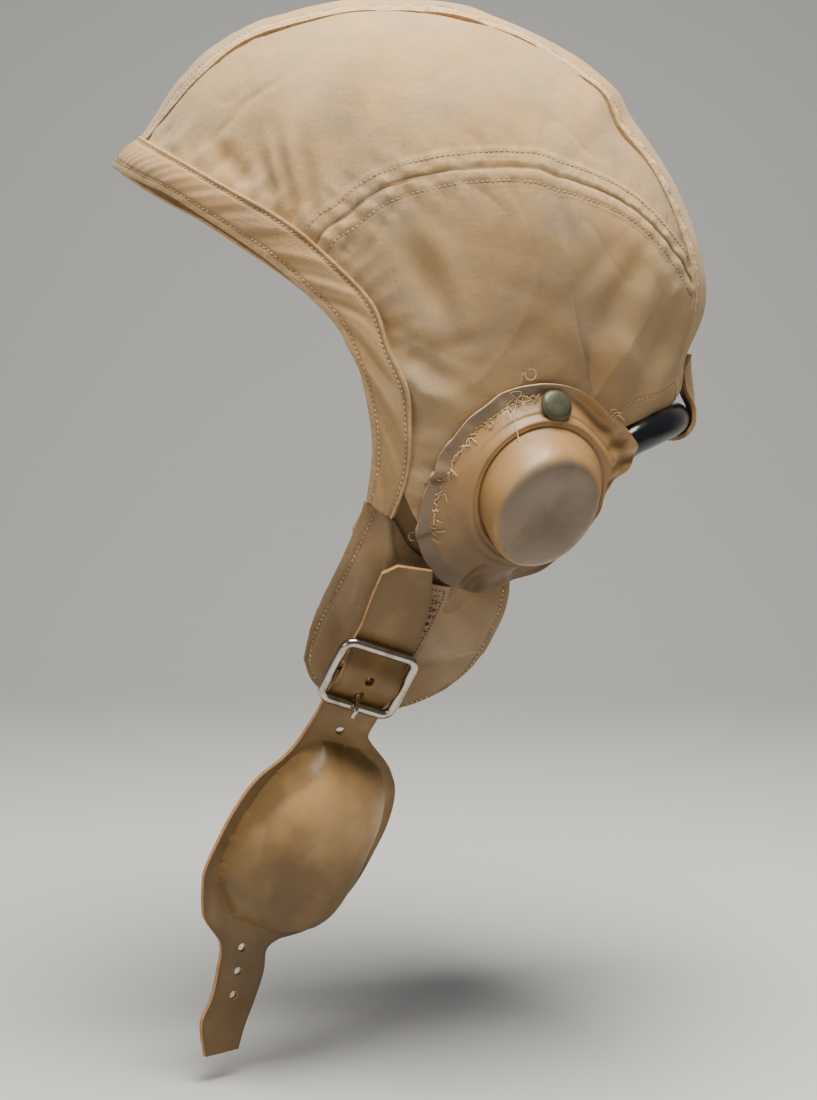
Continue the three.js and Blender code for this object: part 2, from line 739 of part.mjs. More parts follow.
function earCup() {
  const rings = cupRings();
  const count = rings.length;
  const apex = earPlace(DOME.faceRight, DOME.faceUp, DOME.middle);
  const outer = [];
  const inner = [];
  rings.forEach((ring, k) => {
    const before = k ? rings[k - 1] : () => apex;
    const after = rings[Math.min(count - 1, k + 1)];
    for (let side = 0; side < CUP_SIDES; side += 1) {
      const degrees = (360 * side) / CUP_SIDES;
      const normal = cupNormal(ring, before, after, degrees);
      const point = ring(degrees);
      outer.push(point);
      inner.push(point.clone().addScaledVector(normal, -CUP_LEATHER));
    }
  });
  const points = [...outer, ...inner, apex, apex.clone().addScaledVector(EAR_AXIS, -CUP_LEATHER)];
  const half = outer.length;
  const at = (face, k, side) => face * half + k * CUP_SIDES + (side % CUP_SIDES);
  const triangles = [];
  for (let side = 0; side < CUP_SIDES; side += 1) {
    const next = side + 1;
    triangles.push(2 * half, at(0, 0, side), at(0, 0, next));
    triangles.push(2 * half + 1, at(1, 0, next), at(1, 0, side));
    for (let k = 0; k < count - 1; k += 1) {
      triangles.push(at(0, k, side), at(0, k + 1, side), at(0, k + 1, next));
      triangles.push(at(0, k, side), at(0, k + 1, next), at(0, k, next));
      triangles.push(at(1, k, side), at(1, k + 1, next), at(1, k + 1, side));
      triangles.push(at(1, k, side), at(1, k, next), at(1, k + 1, next));
    }
    triangles.push(at(0, count - 1, side), at(1, count - 1, side), at(1, count - 1, next));
    triangles.push(at(0, count - 1, side), at(1, count - 1, next), at(0, count - 1, next));
  }
  return solidFrom(points.flatMap((point) => point.toArray()), triangles);
}

function earHole() {
  return roundBar(earPlace(0, 0, -20), earPlace(0, 0, 20), EAR.holeRadius, 24);
}

function cupSnap() {
  const { angle, reach, radius, height } = SNAP;
  const foot = hypot(DOME.baseRight, DOME.baseUp + domeFoot.radius);
  const shareAt = (r) => (r - foot) / (flangeReach(angle) - foot);
  const heightOf = tableCurve(FLANGE_SECTION, 'share', 'height');
  const at = (degrees, r) => flangePoint(degrees, shareAt(r), heightOf(shareAt(r)));
  const round = at(angle + 8, reach).sub(at(angle - 8, reach));
  const outward = at(angle, reach + 4).sub(at(angle, reach - 4));
  const normal = new THREE.Vector3().crossVectors(outward, round).normalize();
  const profile = [
    new THREE.Vector2(0, 0),
    new THREE.Vector2(radius - 0.7, 0),
    new THREE.Vector2(radius, 0.7),
    new THREE.Vector2(radius - 0.4, height - 0.6),
    new THREE.Vector2(radius - 1.6, height),
    new THREE.Vector2(0, height + 0.3),
  ];
  const disc = new THREE.LatheGeometry(profile, 16).rotateX(PI / 2);
  const seat = at(angle, reach).addScaledVector(normal, GAP + 0.5);
  return placed(disc, seat, normal, vec(0, 0, 1));
}

// The chin strap

const strapLine = new THREE.CatmullRomCurve3(STRAP.map(({ x, y, z }) => vec(x, y, z)), false, 'centripetal');
const STRAP_LENGTH = strapLine.getLength();
const strapAlong = STRAP.map((_, i) => {
  let sum = 0;
  const steps = 20;
  const last = i / (STRAP.length - 1);
  let from = strapLine.getPoint(0);
  for (let k = 1; k <= steps * i; k += 1) {
    const to = strapLine.getPoint((last * k) / (steps * i));
    sum += to.distanceTo(from);
    from = to;
  }
  return sum;
});
const strapTable = STRAP.map((row, i) => ({ ...row, along: strapAlong[i] }));
const strapOf = (key) => tableCurve(strapTable, 'along', key);
const strapYaw = strapOf('yaw');
const strapPitch = strapOf('pitch');
const strapFront = strapOf('front');
const strapBack = strapOf('back');

// The strap's own frame at a distance along it: middle, way down, way across and facing.
function strapFrame(along) {
  const share = clamp01(along / STRAP_LENGTH);
  const middle = strapLine.getPointAt(share);
  const down = strapLine.getTangentAt(share);
  const yaw = radians(strapYaw(along));
  const pitch = radians(strapPitch(along));
  const facing = vec(cos(yaw) * cos(pitch), sin(yaw) * cos(pitch), -sin(pitch));
  facing.addScaledVector(down, -facing.dot(down)).normalize();
  const across = new THREE.Vector3().crossVectors(down, facing);
  if (across.y < 0) across.negate();
  return { middle, down, across, facing };
}

// How far the strap stands off its middle line, under, over and under the buckle's bars.
function weave(along) {
  const distance = Math.abs(along - BUCKLE.along);
  if (distance < BUCKLE.halfLength) {
    return mix(WEAVE.under, WEAVE.over, (1 + cos((PI * distance) / BUCKLE.halfLength)) / 2);
  }
  return WEAVE.under * (1 - smooth(BUCKLE.halfLength, BUCKLE.halfLength + WEAVE.fade, distance) * 0.6);
}

function domeHeight(along, across) {
  const s = (along - CHIN_DOME.along) / CHIN_DOME.halfLength;
  const w = (across - CHIN_DOME.across) / CHIN_DOME.halfWidth;
  const reach = hypot(s, w);
  if (reach >= 1) return 0;
  return CHIN_DOME.height * (1 - reach ** 2.3) ** 0.7;
}

function strapPoint(along, across) {
  const { middle, across: side, facing } = strapFrame(along);
  const rise = weave(along) + domeHeight(along, across) + STRAP_LEATHER / 2;
  return middle.clone().addScaledVector(side, across).addScaledVector(facing, rise);
}

function strapNormal(along, across) {
  const step = 1;
  const ahead = strapPoint(along + step, across).sub(strapPoint(along - step, across));
  const beside = strapPoint(along, across + step).sub(strapPoint(along, across - step));
  const normal = new THREE.Vector3().crossVectors(ahead, beside).normalize();
  return normal.dot(strapFrame(along).facing) < 0 ? normal.negate() : normal;
}

function chinStrap() {
  const spans = [
    { from: 0.6, to: 30, steps: 3 },
    { from: 30, to: 62, steps: 8 },
    { from: 62, to: 76, steps: 2 },
    { from: 76, to: 156, steps: 12 },
    { from: 156, to: STRAP_LENGTH - 0.5, steps: 5 },
  ];
  const stations = [spans[0].from];
  for (const { from, to, steps } of spans) {
    for (let i = 1; i <= steps; i += 1) stations.push(mix(from, to, i / steps));
  }
  const columns = 8;
  const outer = [];
  const inner = [];
  for (const along of stations) {
    const row = [];
    const under = [];
    for (let j = 0; j <= columns; j += 1) {
      const share = (2 * j) / columns - 1;
      const eased = mix(share, sin((share * PI) / 2), 0.5);
      const across = eased < 0 ? eased * strapFront(along) : eased * strapBack(along);
      const point = strapPoint(along, across);
      row.push(point);
      under.push(point.clone().addScaledVector(strapNormal(along, across), -STRAP_LEATHER));
    }
    outer.push(row);
    inner.push(under);
  }
  const tools = STRAP_HOLES.map(({ along, radius }) => strapTool(along, radius, radius));
  tools.push(strapTool(PRONG_HOLE.along, PRONG_HOLE.length / 2, PRONG_HOLE.width / 2));
  return cut(wallFrom(outer, inner), ...tools);
}

// A round or oval punch through the strap.
function strapTool(along, halfLength, halfWidth) {
  const { across, facing } = strapFrame(along);
  const at = strapPoint(along, 0);
  const punch = new THREE.CylinderGeometry(1, 1, 14, 8).rotateX(PI / 2);
  punch.scale(halfWidth, halfLength, 1);
  const y = new THREE.Vector3().crossVectors(facing, across);
  const matrix = new THREE.Matrix4().makeBasis(across, y, facing).setPosition(at);
  return punch.applyMatrix4(matrix);
}

// The buckle

const buckleFrame = strapFrame(BUCKLE.along);

// A place on the buckle: across, up toward the ear and out from its plane.
function bucklePlace(across, up, out) {
  return buckleFrame.middle.clone()
    .addScaledVector(buckleFrame.across, across)
    .addScaledVector(buckleFrame.down, -up)
    .addScaledVector(buckleFrame.facing, out);
}

function buckleWire() {
  const { halfLength, halfWidth, wire, corner } = BUCKLE;
  const centres = [
    { x: halfWidth - corner, y: halfLength - corner, from: 0 },
    { x: corner - halfWidth, y: halfLength - corner, from: 90 },
    { x: corner - halfWidth, y: corner - halfLength, from: 180 },
    { x: halfWidth - corner, y: corner - halfLength, from: 270 },
  ];
  const path = [];
  for (const { x, y, from } of centres) {
    for (let i = 0; i <= 2; i += 1) {
      const turn = radians(from + 45 * i);
      path.push({ x: x + corner * cos(turn), y: y + corner * sin(turn), turn });
    }
  }
  const sides = 8;
  const positions = [];
  const triangles = [];
  path.forEach(({ x, y, turn }, i) => {
    for (let k = 0; k < sides; k += 1) {
      const roll = (2 * PI * k) / sides;
      const out = wire * cos(roll);
      const point = bucklePlace(x + out * cos(turn), y + out * sin(turn), wire * sin(roll));
      positions.push(...point.toArray());
      const a = i * sides + k;
      const b = i * sides + ((k + 1) % sides);
      const c = ((i + 1) % path.length) * sides + k;
      const d = ((i + 1) % path.length) * sides + ((k + 1) % sides);
      triangles.push(a, c, d, a, d, b);
    }
  });
  return solidFrom(positions, triangles);
}

// The middle bar, sunk below the frame, with a short leg up to the wire at each end.
function buckleBar() {
  const end = BUCKLE.halfWidth;
  const low = -BAR.drop;
  const bar = roundBar(bucklePlace(-end, 0, low), bucklePlace(end, 0, low), BAR.radius, 8);
  const legs = [-end, end].map((across) =>
    roundBar(bucklePlace(across, 0, low - BAR.radius * 0.6), bucklePlace(across, 0, 0.4), 1.15, 6));
  return join(bar, ...legs);
}

function prong() {
  const ring = new THREE.TorusGeometry(PRONG.ring - PRONG.radius * 0.3, PRONG.radius * 0.75, 5, 10);
  const eye = placed(ring, bucklePlace(0, 0, -BAR.drop), buckleFrame.across, buckleFrame.facing);
  const line = new THREE.CatmullRomCurve3([
    bucklePlace(0, -1.9, -BAR.drop - 0.9),
    bucklePlace(0, -5, -BAR.drop - 0.8),
    bucklePlace(0, -9.2, -0.6),
    bucklePlace(0, -12, 3.8),
    bucklePlace(0, -15, 3.8),
  ]);
  const circle = new THREE.Shape().absarc(0, 0, PRONG.radius, 0, 2 * PI);
  const pin = new THREE.ExtrudeGeometry(circle, { steps: 6, extrudePath: line, curveSegments: 3 });
  return join(eye, pin);
}

function buckleTab() {
  const place = (u, v) => {
    const along = mix(TAB.top, BUCKLE.along - 2.4, u);
    const across = mix(TAB.topShift, 0, smooth(0, 1, u)) + (2 * v - 1) * TAB.halfWidth;
    const { middle, across: side } = strapFrame(along);
    const near = middle.clone().addScaledVector(side, across);
    return { disc: discOf(near), side: 1 };
  };
  const slab = headWall(6, 2, place, {
    thickness: TAB_LEATHER, lift: 1.4 * GAP + TAB_LEATHER, folded: false,
  });
  const outer = BAR.radius + GAP + TAB_LEATHER / 2;
  const length = 2 * TAB.halfWidth - 0.4;
  const ends = [-length / 2, length / 2].map((across) => bucklePlace(across, 0, -BAR.drop));
  const roll = roundBar(ends[0], ends[1], outer, 10);
  const neck = neckOf(length);
  const bore = [-14, 14].map((across) => bucklePlace(across, 0, -BAR.drop));
  const slot = new THREE.BoxGeometry(TAB.slot * 2, 12, 12);
  const slotAt = placedOnBuckle(slot, 0, -2, -BAR.drop);
  const body = join(slab, roll, neck);
  return cut(body, roundBar(bore[0], bore[1], BAR.radius + GAP, 8), slotAt);
}

// The fold of the tab between the flat part and the bar.
function neckOf(width) {
  const block = new THREE.BoxGeometry(width, NECK.length, NECK.height);
  return placedOnBuckle(block, 0, NECK.up, NECK.out);
}

function placedOnBuckle(geometry, across, up, out) {
  const x = buckleFrame.across;
  const y = buckleFrame.down.clone().negate();
  const z = new THREE.Vector3().crossVectors(x, y);
  const matrix = new THREE.Matrix4().makeBasis(x, y, z).setPosition(bucklePlace(across, up, out));
  return geometry.clone().applyMatrix4(matrix);
}

// The tube round the nape and the loop that carries it

function tubeLine() {
  const left = TUBE.map(({ x, y, z }) => vec(x, y, z));
  const right = left.slice(0, -1).reverse().map(({ x, y, z }) => vec(-x, y, z));
  return new THREE.CatmullRomCurve3([...left, ...right], false, 'centripetal');
}

function napeTube() {
  const circle = new THREE.Shape().absarc(0, 0, TUBE_RADIUS, 0, 2 * PI);
  return new THREE.ExtrudeGeometry(circle, {
    steps: 20, extrudePath: tubeLine(), curveSegments: 4, bevelEnabled: false,
  });
}

// A strip of cloth from the strip's end down round the outside of the tube and up behind it.
function napeLoop() {
  const { halfWidth, cloth } = LOOP;
  const tube = vec(0, TUBE.at(-1).y, TUBE.at(-1).z);
  const radius = TUBE_RADIUS + LOOP.clear + cloth;
  const path = [];
  for (const { z, off } of LOOP_DROP) {
    const y = backOf(z) + LOOP.clear + cloth + off;
    path.push({ y, z, ny: 1, nz: 0.05 });
  }
  for (let degrees = 5; degrees >= -150; degrees -= 22) {
    const turn = radians(degrees);
    path.push({
      y: tube.y + radius * cos(turn), z: tube.z + radius * sin(turn), ny: cos(turn), nz: sin(turn),
    });
  }
  const outer = [];
  const inner = [];
  for (const { y, z, ny, nz } of path) {
    const row = [];
    const under = [];
    const normal = vec(0, ny, nz).normalize();
    for (const across of [-1, -0.5, 0, 0.5, 1]) {
      const x = across * halfWidth;
      const set = -(x * x) / 90;
      row.push(vec(x, y + set, z));
      under.push(vec(x, y + set, z).addScaledVector(normal, -cloth));
    }
    outer.push(row);
    inner.push(under);
  }
  return wallFrom(outer, inner);
}

// The outer face of the strip on the middle line at a height behind the head.
function backOf(z) {
  let low = 60;
  let high = 140;
  for (let i = 0; i < 30; i += 1) {
    const middle = (low + high) / 2;
    if (spread(middle, z) < 1) low = middle;
    else high = middle;
  }
  return high;
}

// The assembly

const helmet = new THREE.Group();

function add(name, geometry, material) {
  const mesh = new THREE.Mesh(geometry, material);
  mesh.name = name;
  helmet.add(mesh);
}

function addPair(name, geometry, material) {
  add(`${name}_left`, geometry, material);
  add(`${name}_right`, mirrored(geometry), material);
}

add('centre_strip', centreStrip(), TWILL);
addPair('crown_panel', crownPanel(), TWILL);
addPair('side_panel', sidePanel(), TWILL);
add('brow_band', browBand(), BAND_TWILL);
addPair('cheek_flap', cheekFlap(), TWILL);
addPair('ear_cup', earCup(), CUP_FINISH);
addPair('cup_snap', cupSnap(), SNAP_PAINT);
addPair('buckle_tab', buckleTab(), STRAP_FINISH);
addPair('buckle', join(buckleWire(), buckleBar()), NICKEL);
addPair('buckle_prong', prong(), NICKEL);
add('chin_strap', chinStrap(), STRAP_FINISH);
add('nape_tube', napeTube(), RUBBER);
add('nape_loop', napeLoop(), TWILL);

export default helmet;
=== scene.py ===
"""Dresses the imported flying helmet: cloth panels, leather cups, strap, buckle, tube and stitches.

The lengths in the tables are millimetres, with +Z up, the face toward -Y and the wearer's left at
+X. The meshes are made in metres, in the frame of the solids.
"""

import logging
import math
from dataclasses import dataclass
from enum import Enum
from typing import Callable, NamedTuple, Sequence, TypeVar

import bmesh
import bpy
import numpy as np
from mathutils import Euler, Matrix, Vector


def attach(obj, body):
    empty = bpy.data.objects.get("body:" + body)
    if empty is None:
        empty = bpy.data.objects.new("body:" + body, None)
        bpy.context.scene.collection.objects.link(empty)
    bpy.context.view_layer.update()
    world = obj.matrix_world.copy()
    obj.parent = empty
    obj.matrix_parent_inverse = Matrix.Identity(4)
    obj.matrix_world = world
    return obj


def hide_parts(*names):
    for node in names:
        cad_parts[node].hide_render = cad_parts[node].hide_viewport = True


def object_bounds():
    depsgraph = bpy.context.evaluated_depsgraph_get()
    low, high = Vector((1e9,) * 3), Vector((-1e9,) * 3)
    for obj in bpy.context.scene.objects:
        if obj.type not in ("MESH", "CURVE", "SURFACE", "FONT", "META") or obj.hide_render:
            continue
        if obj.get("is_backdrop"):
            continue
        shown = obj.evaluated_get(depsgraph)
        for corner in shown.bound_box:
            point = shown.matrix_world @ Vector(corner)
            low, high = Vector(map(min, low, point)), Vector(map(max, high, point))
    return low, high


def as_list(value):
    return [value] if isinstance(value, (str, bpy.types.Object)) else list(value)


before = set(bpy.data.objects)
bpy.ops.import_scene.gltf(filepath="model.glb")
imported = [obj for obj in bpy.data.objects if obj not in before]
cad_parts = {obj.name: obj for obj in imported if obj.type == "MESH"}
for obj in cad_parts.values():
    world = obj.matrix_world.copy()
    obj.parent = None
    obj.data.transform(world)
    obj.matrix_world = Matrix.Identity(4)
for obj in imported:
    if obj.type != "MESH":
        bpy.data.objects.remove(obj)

LOG = logging.getLogger("flying_helmet")
SOLID_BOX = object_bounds()
BODY = "root"
MM = 0.001
TWIST = 2 * math.pi

# Thicknesses, as in the solids
CLOTH = 1.6
BAND_CLOTH = 2.4
FLAP_CLOTH = 2.0
CUP_LEATHER = 2.0
STRAP_LEATHER = 2.2
TAB_PLY = 1.3
GAP = 0.3

Array = np.ndarray
Placer = Callable[[Array, Array], Array]
Line = Callable[[Array], Array]
Piece = bpy.types.Object
Socket = bpy.types.NodeSocket
Triple = tuple[float, float, float]
Row = TypeVar("Row")


class Side(Enum):
    """A side of the wearer, with its sign along X."""

    LEFT = 1
    RIGHT = -1

    @property
    def label(self) -> str:
        """Its word in the names of the pieces."""
        return self.name.lower()

    @property
    def flip(self) -> Array:
        """What turns points of the left half into points of this side."""
        return np.array([self.value, 1, 1])


class SidePoint(NamedTuple):
    """A point of the side view."""

    y: float
    z: float


class Point(NamedTuple):
    """A point in space."""

    x: float
    y: float
    z: float


class StripRow(NamedTuple):
    """Half width of the crown strip at a side view direction in degrees."""

    angle: float
    half: float


class Fold(NamedTuple):
    """A fold of the cloth: middle, heading in the side view, length, width and depth."""

    y: float
    z: float
    heading: float
    length: float
    width: float
    depth: float


class FlangeRow(NamedTuple):
    """Reach and drape of the ear cup's flange at an angle, 0 toward the back and 90 up."""

    angle: float
    reach: float
    drape: float


class DomeRow(NamedTuple):
    """A ring of the ear cup's dome, with its share of the face's lean."""

    radius: float
    height: float
    top: float


class ShoulderRow(NamedTuple):
    """A ring between the dome's foot at share 0 and the flange's edge at share 1."""

    share: float
    height: float


class StrapRow(NamedTuple):
    """A station of the chin strap: middle line, facing angles and half widths."""

    x: float
    y: float
    z: float
    yaw: float
    pitch: float
    front: float
    back: float


class HoleRow(NamedTuple):
    """A punched hole of the strap."""

    along: float
    radius: float


class DropRow(NamedTuple):
    """A station of the nape loop above the tube: height and stand-off from the strip."""

    z: float
    off: float


def table(kind: Callable[..., Row], *rows: Sequence[float]) -> tuple[Row, ...]:
    """The rows of a table, each made with its kind's names."""
    return tuple(kind(*row) for row in rows)


# The outline, the seams and the edges in the side view
OUTLINE = table(
    SidePoint,
    (-98.9, -49.3), (-84.5, -28.4), (-67.6, -13.5), (-43.4, -3.7), (-23.5, 0.7), (-4, 1.6),
    (15, 0.2), (38, -6.1), (69.6, -22.7), (82, -32.9), (88.6, -43.5), (104.8, -69), (116, -99),
    (116.3, -113.5), (109.7, -132.5), (107.5, -149.5), (98, -173.5), (66, -233.5), (-5, -293.5),
    (-83, -269.5), (-112, -171.5), (-114, -91.5), (-109.6, -60.7),
)
BAND_EDGE = table(
    SidePoint,
    (-11, -185.5), (-8.9, -164.5), (-12.2, -143.5), (-18.4, -129.5), (-29.6, -115.5),
    (-46.2, -101.1), (-80, -78.3), (-96, -69.9), (-109.6, -60.7),
)
BAND_SEAM = table(
    SidePoint,
    (-2, -192), (3.4, -178.3), (5, -161.5), (2.7, -142.5), (-6, -121.1), (-23.4, -100.5),
    (-39.7, -87.1), (-65.7, -71.9), (-78.6, -63.9), (-91, -56), (-98.9, -49.3),
)
ARC_SEAM = table(
    SidePoint,
    (-29, -95.9), (-18, -86.2), (5, -73.2), (28.7, -69.4), (51.6, -70.2), (79, -79.9),
    (97.7, -94.5), (105.5, -106.5),
)
HEM = table(
    SidePoint,
    (101.5, -149), (93.2, -152.4), (81, -158.2), (72.6, -162.4), (69, -168.5), (70.5, -179.5),
    (68, -192.5), (60.8, -204), (41.1, -213.7), (25.8, -209.5), (15, -200.9), (8, -189.5),
    (4.4, -179),
)
FLAP_TOP = table(
    SidePoint,
    (-11, -186.1), (-2, -192.6), (4.4, -203.5), (14, -209), (25.8, -211.5), (40.8, -215.3),
)
FLAP_FRONT = table(
    SidePoint,
    (-11, -186.1), (-20.2, -207), (-30.7, -229.3), (-34.8, -244.5),
)
FLAP_BOTTOM = table(
    SidePoint,
    (-34.8, -244.5), (-31.2, -253.5), (-21.6, -261.1), (-9, -264.5), (4, -263), (19, -255),
)
FLAP_BACK = table(
    SidePoint,
    (40.8, -215.3), (38.5, -228.5), (31, -243), (19, -255),
)
STRIP = table(
    StripRow,
    (160, 22), (155, 25), (145, 32), (120, 34), (0, 34), (-20, 27), (-32, 20),
)
FOLDS = table(
    Fold,
    (-52, -59.5, 62, 34, 7, -1.6), (-38, -63.5, 72, 36, 6, 1.5), (-24, -61.5, 80, 38, 7, -1.4),
    (8, -104.5, -66, 46, 8, -1.8), (9, -145.5, -40, 24, 6, 1.4), (83, -48.5, -70, 26, 7, -2),
    (96, -111.5, -105, 50, 7, -2.2), (86, -125.5, -118, 44, 8, 1.8),
)
FLANGE = table(
    FlangeRow,
    (3, 34, 0.38), (16, 44.7, 0.42), (25, 44.2, 0.45), (44, 39.8, 0.55), (66, 39.6, 0.9),
    (88, 38.5, 1), (108, 36.7, 1), (137, 34.2, 1), (167, 35, 1), (190, 38.3, 1), (208, 43.1, 1),
    (229, 44.7, 1), (244, 42.6, 1), (258, 38, 0.95), (275, 33.5, 0.8), (320, 31, 0.5),
    (345, 31.5, 0.38),
)
DOME_SECTION = table(
    DomeRow,
    (8, 19.9, 1), (15, 20.8, 1), (19, 20.3, 1), (21.6, 17.9, 0.92), (23, 13.6, 0.6), (23.8, 7.6, 0),
)
FLANGE_SECTION = table(
    ShoulderRow,
    (0.22, 7.3), (0.44, 5.2), (0.7, 3.1), (1, 3),
)
STRAP = table(
    StrapRow,
    (75.4, 4.3, -209, 12, 22, 8.2, 8.6), (71.8, 1.2, -221.5, 10, 25, 10.4, 10.8),
    (67.6, -4.3, -238.2, 8, 27, 11.2, 11.2), (63.1, -10.6, -250.1, 8, 27, 11.3, 11.3),
    (57.2, -16.6, -262.5, 9, 26, 11.2, 11.1), (52.6, -21.6, -271.8, 13, 22, 11.8, 11.8),
    (48, -27, -283, 18, 16, 14.2, 28), (46.4, -31.8, -294.5, 23, 11, 21.4, 34.3),
    (46.3, -38, -307.5, 26, 8, 25.2, 35.4), (47.3, -44.7, -322.1, 28, 6, 26.6, 33.6),
    (49.2, -50.6, -335.3, 29, 4, 26, 26.4), (50.8, -55.6, -345.5, 30, 4, 19.6, 14.6),
    (51.4, -57.7, -351.9, 30, 4, 9.2, 10.4), (51.9, -59.3, -361.1, 31, 3, 8.2, 10.6),
    (52.7, -61.4, -371.9, 33, 2, 8.6, 9.2), (53.6, -63.2, -381.1, 34, 1, 10.8, 7.4),
    (55, -65.4, -393.5, 35, 0, 6.8, 6),
)
STRAP_HOLES = table(
    HoleRow,
    (45.4, 1.9), (71.6, 1.7), (162, 1.6), (171, 1.6), (180, 1.6),
)
TUBE = table(
    Point,
    (47.2, 76.4, -172.1), (45.2, 82.2, -166.3), (38, 92.8, -161.3), (21, 101.8, -158.1),
    (0, 105.6, -156.9),
)
LOOP_DROP = table(
    DropRow,
    (-132.5, 0), (-139.5, 1.6), (-147.5, 3.4),
)


# Folds that are too fine for the solids
FINE_FOLDS = table(
    Fold,
    (-46, -73, -70, 26, 3.2, -1.2), (-42.5, -71, -72, 26, 2.6, 1.0),
    (-39.5, -74, -76, 30, 2.6, -1.1), (-35.5, -72, -80, 30, 2.6, 1.0),
    (-32, -74, -83, 34, 3.0, -1.1), (-27, -72, -86, 26, 3.2, 0.9), (-56, -70, -50, 22, 3.6, -1.1),
    (-63, -63, -48, 18, 3.6, -0.8), (-62, -52, 43, 24, 1.6, -0.6), (-50, -41, 31, 24, 1.5, -0.5),
    (-20, -66, 84, 26, 4, -0.8), (-14, -60, 70, 24, 3.5, 0.6), (3, -108, -59, 40, 6, 1.0),
    (12, -110, -63, 26, 6, -2.2), (20, -114, -66, 44, 6, 1.2), (22, -131, 12, 18, 3.0, -0.9),
    (10, -139, -38, 26, 4.5, -2.0), (6, -145, -40, 30, 3.6, 1.3), (20, -150, -42, 20, 4, 1.0),
    (5, -159, -75, 26, 4, -1.2), (28, -150, -80, 30, 4.0, 0.9), (58, -86, -78, 30, 2.6, -1.0),
    (62, -84, -70, 26, 3.4, 0.9), (70, -104, 52, 26, 4.0, -0.9), (80, -112, 62, 34, 4.5, -1.6),
    (88, -118, 65, 40, 4.2, 1.2), (100, -136, -118, 48, 4.2, 1.5), (94, -132, -118, 42, 3.6, -1.3),
    (84, -142, -116, 30, 4, 0.8), (84, -46, -71, 26, 4, -1.0), (45, -128, 35, 30, 5, -0.7),
    (55, -140, 30, 30, 5, 0.6), (-6, -214, -72, 34, 3.6, -1.6), (-14, -215, -80, 34, 3.0, 0.9),
    (-21, -231, -76, 22, 4.6, -1.7), (27, -227, -50, 22, 4, -1.1), (14, -238, -52, 22, 4, 1.1),
    (14, -245, 5, 26, 2.6, -1.1), (20, -251, 25, 20, 3, 0.7), (4, -240, 60, 24, 4, 0.8),
)

# Smooth functions of one number


@dataclass(frozen=True)
class Curve:
    """A smooth function through pairs of numbers, cubic between them.

    Attributes:
        xs: The sorted inputs.
        ys: Their outputs.
        slopes: The slopes there.
        period: The input's period, or 0.
    """

    xs: Array
    ys: Array
    slopes: Array
    period: float

    @classmethod
    def through(cls, xs: Sequence[float], ys: Sequence[float], period: float = 0.0) -> "Curve":
        """Makes the function.

        Args:
            xs: Inputs, in any order.
            ys: Outputs.
            period: The input's period, or 0 for none.

        Returns:
            The function.
        """
        order = np.argsort(xs)
        x = np.asarray(xs, float)[order]
        y = np.asarray(ys, float)[order]
        if period:
            x = np.concatenate([x[-2:] - period, x, x[:2] + period])
            y = np.concatenate([y[-2:], y, y[:2]])
        before = np.maximum(np.arange(len(x)) - 1, 0)
        after = np.minimum(np.arange(len(x)) + 1, len(x) - 1)
        return cls(x, y, (y[after] - y[before]) / (x[after] - x[before]), period)

    def __call__(self, value: Array | float) -> Array:
        """Evaluates the function at one number or an array.

        Args:
            value: One number or an array.

        Returns:
            The outputs.
        """
        at = np.asarray(value, float)
        if self.period:
            low = self.xs[1]
            at = low + np.mod(at - low, self.period)
        at = np.clip(at, self.xs[0], self.xs[-1])
        i = np.clip(np.searchsorted(self.xs, at, side="left") - 1, 0, len(self.xs) - 2)
        span = self.xs[i + 1] - self.xs[i]
        s = (at - self.xs[i]) / span
        s2, s3 = s * s, s * s * s
        return (
            (2 * s3 - 3 * s2 + 1) * self.ys[i]
            + (s3 - 2 * s2 + s) * span * self.slopes[i]
            + (3 * s2 - 2 * s3) * self.ys[i + 1]
            + (s3 - s2) * span * self.slopes[i + 1]
        )


def column_curve(rows: Sequence[NamedTuple], key: str, value: str, period: float = 0.0) -> Curve:
    """A function through two columns of a table.

    Args:
        rows: The table.
        key: The input's column.
        value: The output's column.
        period: The input's period, or 0.

    Returns:
        The function.
    """
    return Curve.through([getattr(r, key) for r in rows], [getattr(r, value) for r in rows], period)


def smooth(low: float, high: float, value: Array) -> Array:
    """A smooth step from 0 at low to 1 at high."""
    share = np.clip((np.asarray(value, float) - low) / (high - low), 0, 1)
    return share * share * (3 - 2 * share)


def bump(value: Array, width: float) -> Array:
    """A rounded bump of height 1 at 0, fading over a width."""
    return np.exp(-((value / width) ** 2))


def unit(vectors: Array) -> Array:
    """The vectors at length 1."""
    return vectors / np.maximum(np.linalg.norm(vectors, axis=-1, keepdims=True), 1e-9)


def drift(points: Array, size: float, seed: int) -> Array:
    """A soft unevenness between about -1 and 1.

    Args:
        points: Places, one row each.
        size: The usual distance between a high and a low place.
        seed: The pattern's number.

    Returns:
        One value for each place.
    """
    rng = np.random.default_rng(seed)
    total = np.zeros(len(points))
    for _ in range(9):
        way = unit(rng.normal(size=(1, points.shape[1])))[0]
        wave = way * rng.uniform(0.6, 1.5) * math.pi / size
        total += np.sin(points @ wave + rng.uniform(0, TWIST))
    return total / 4.5


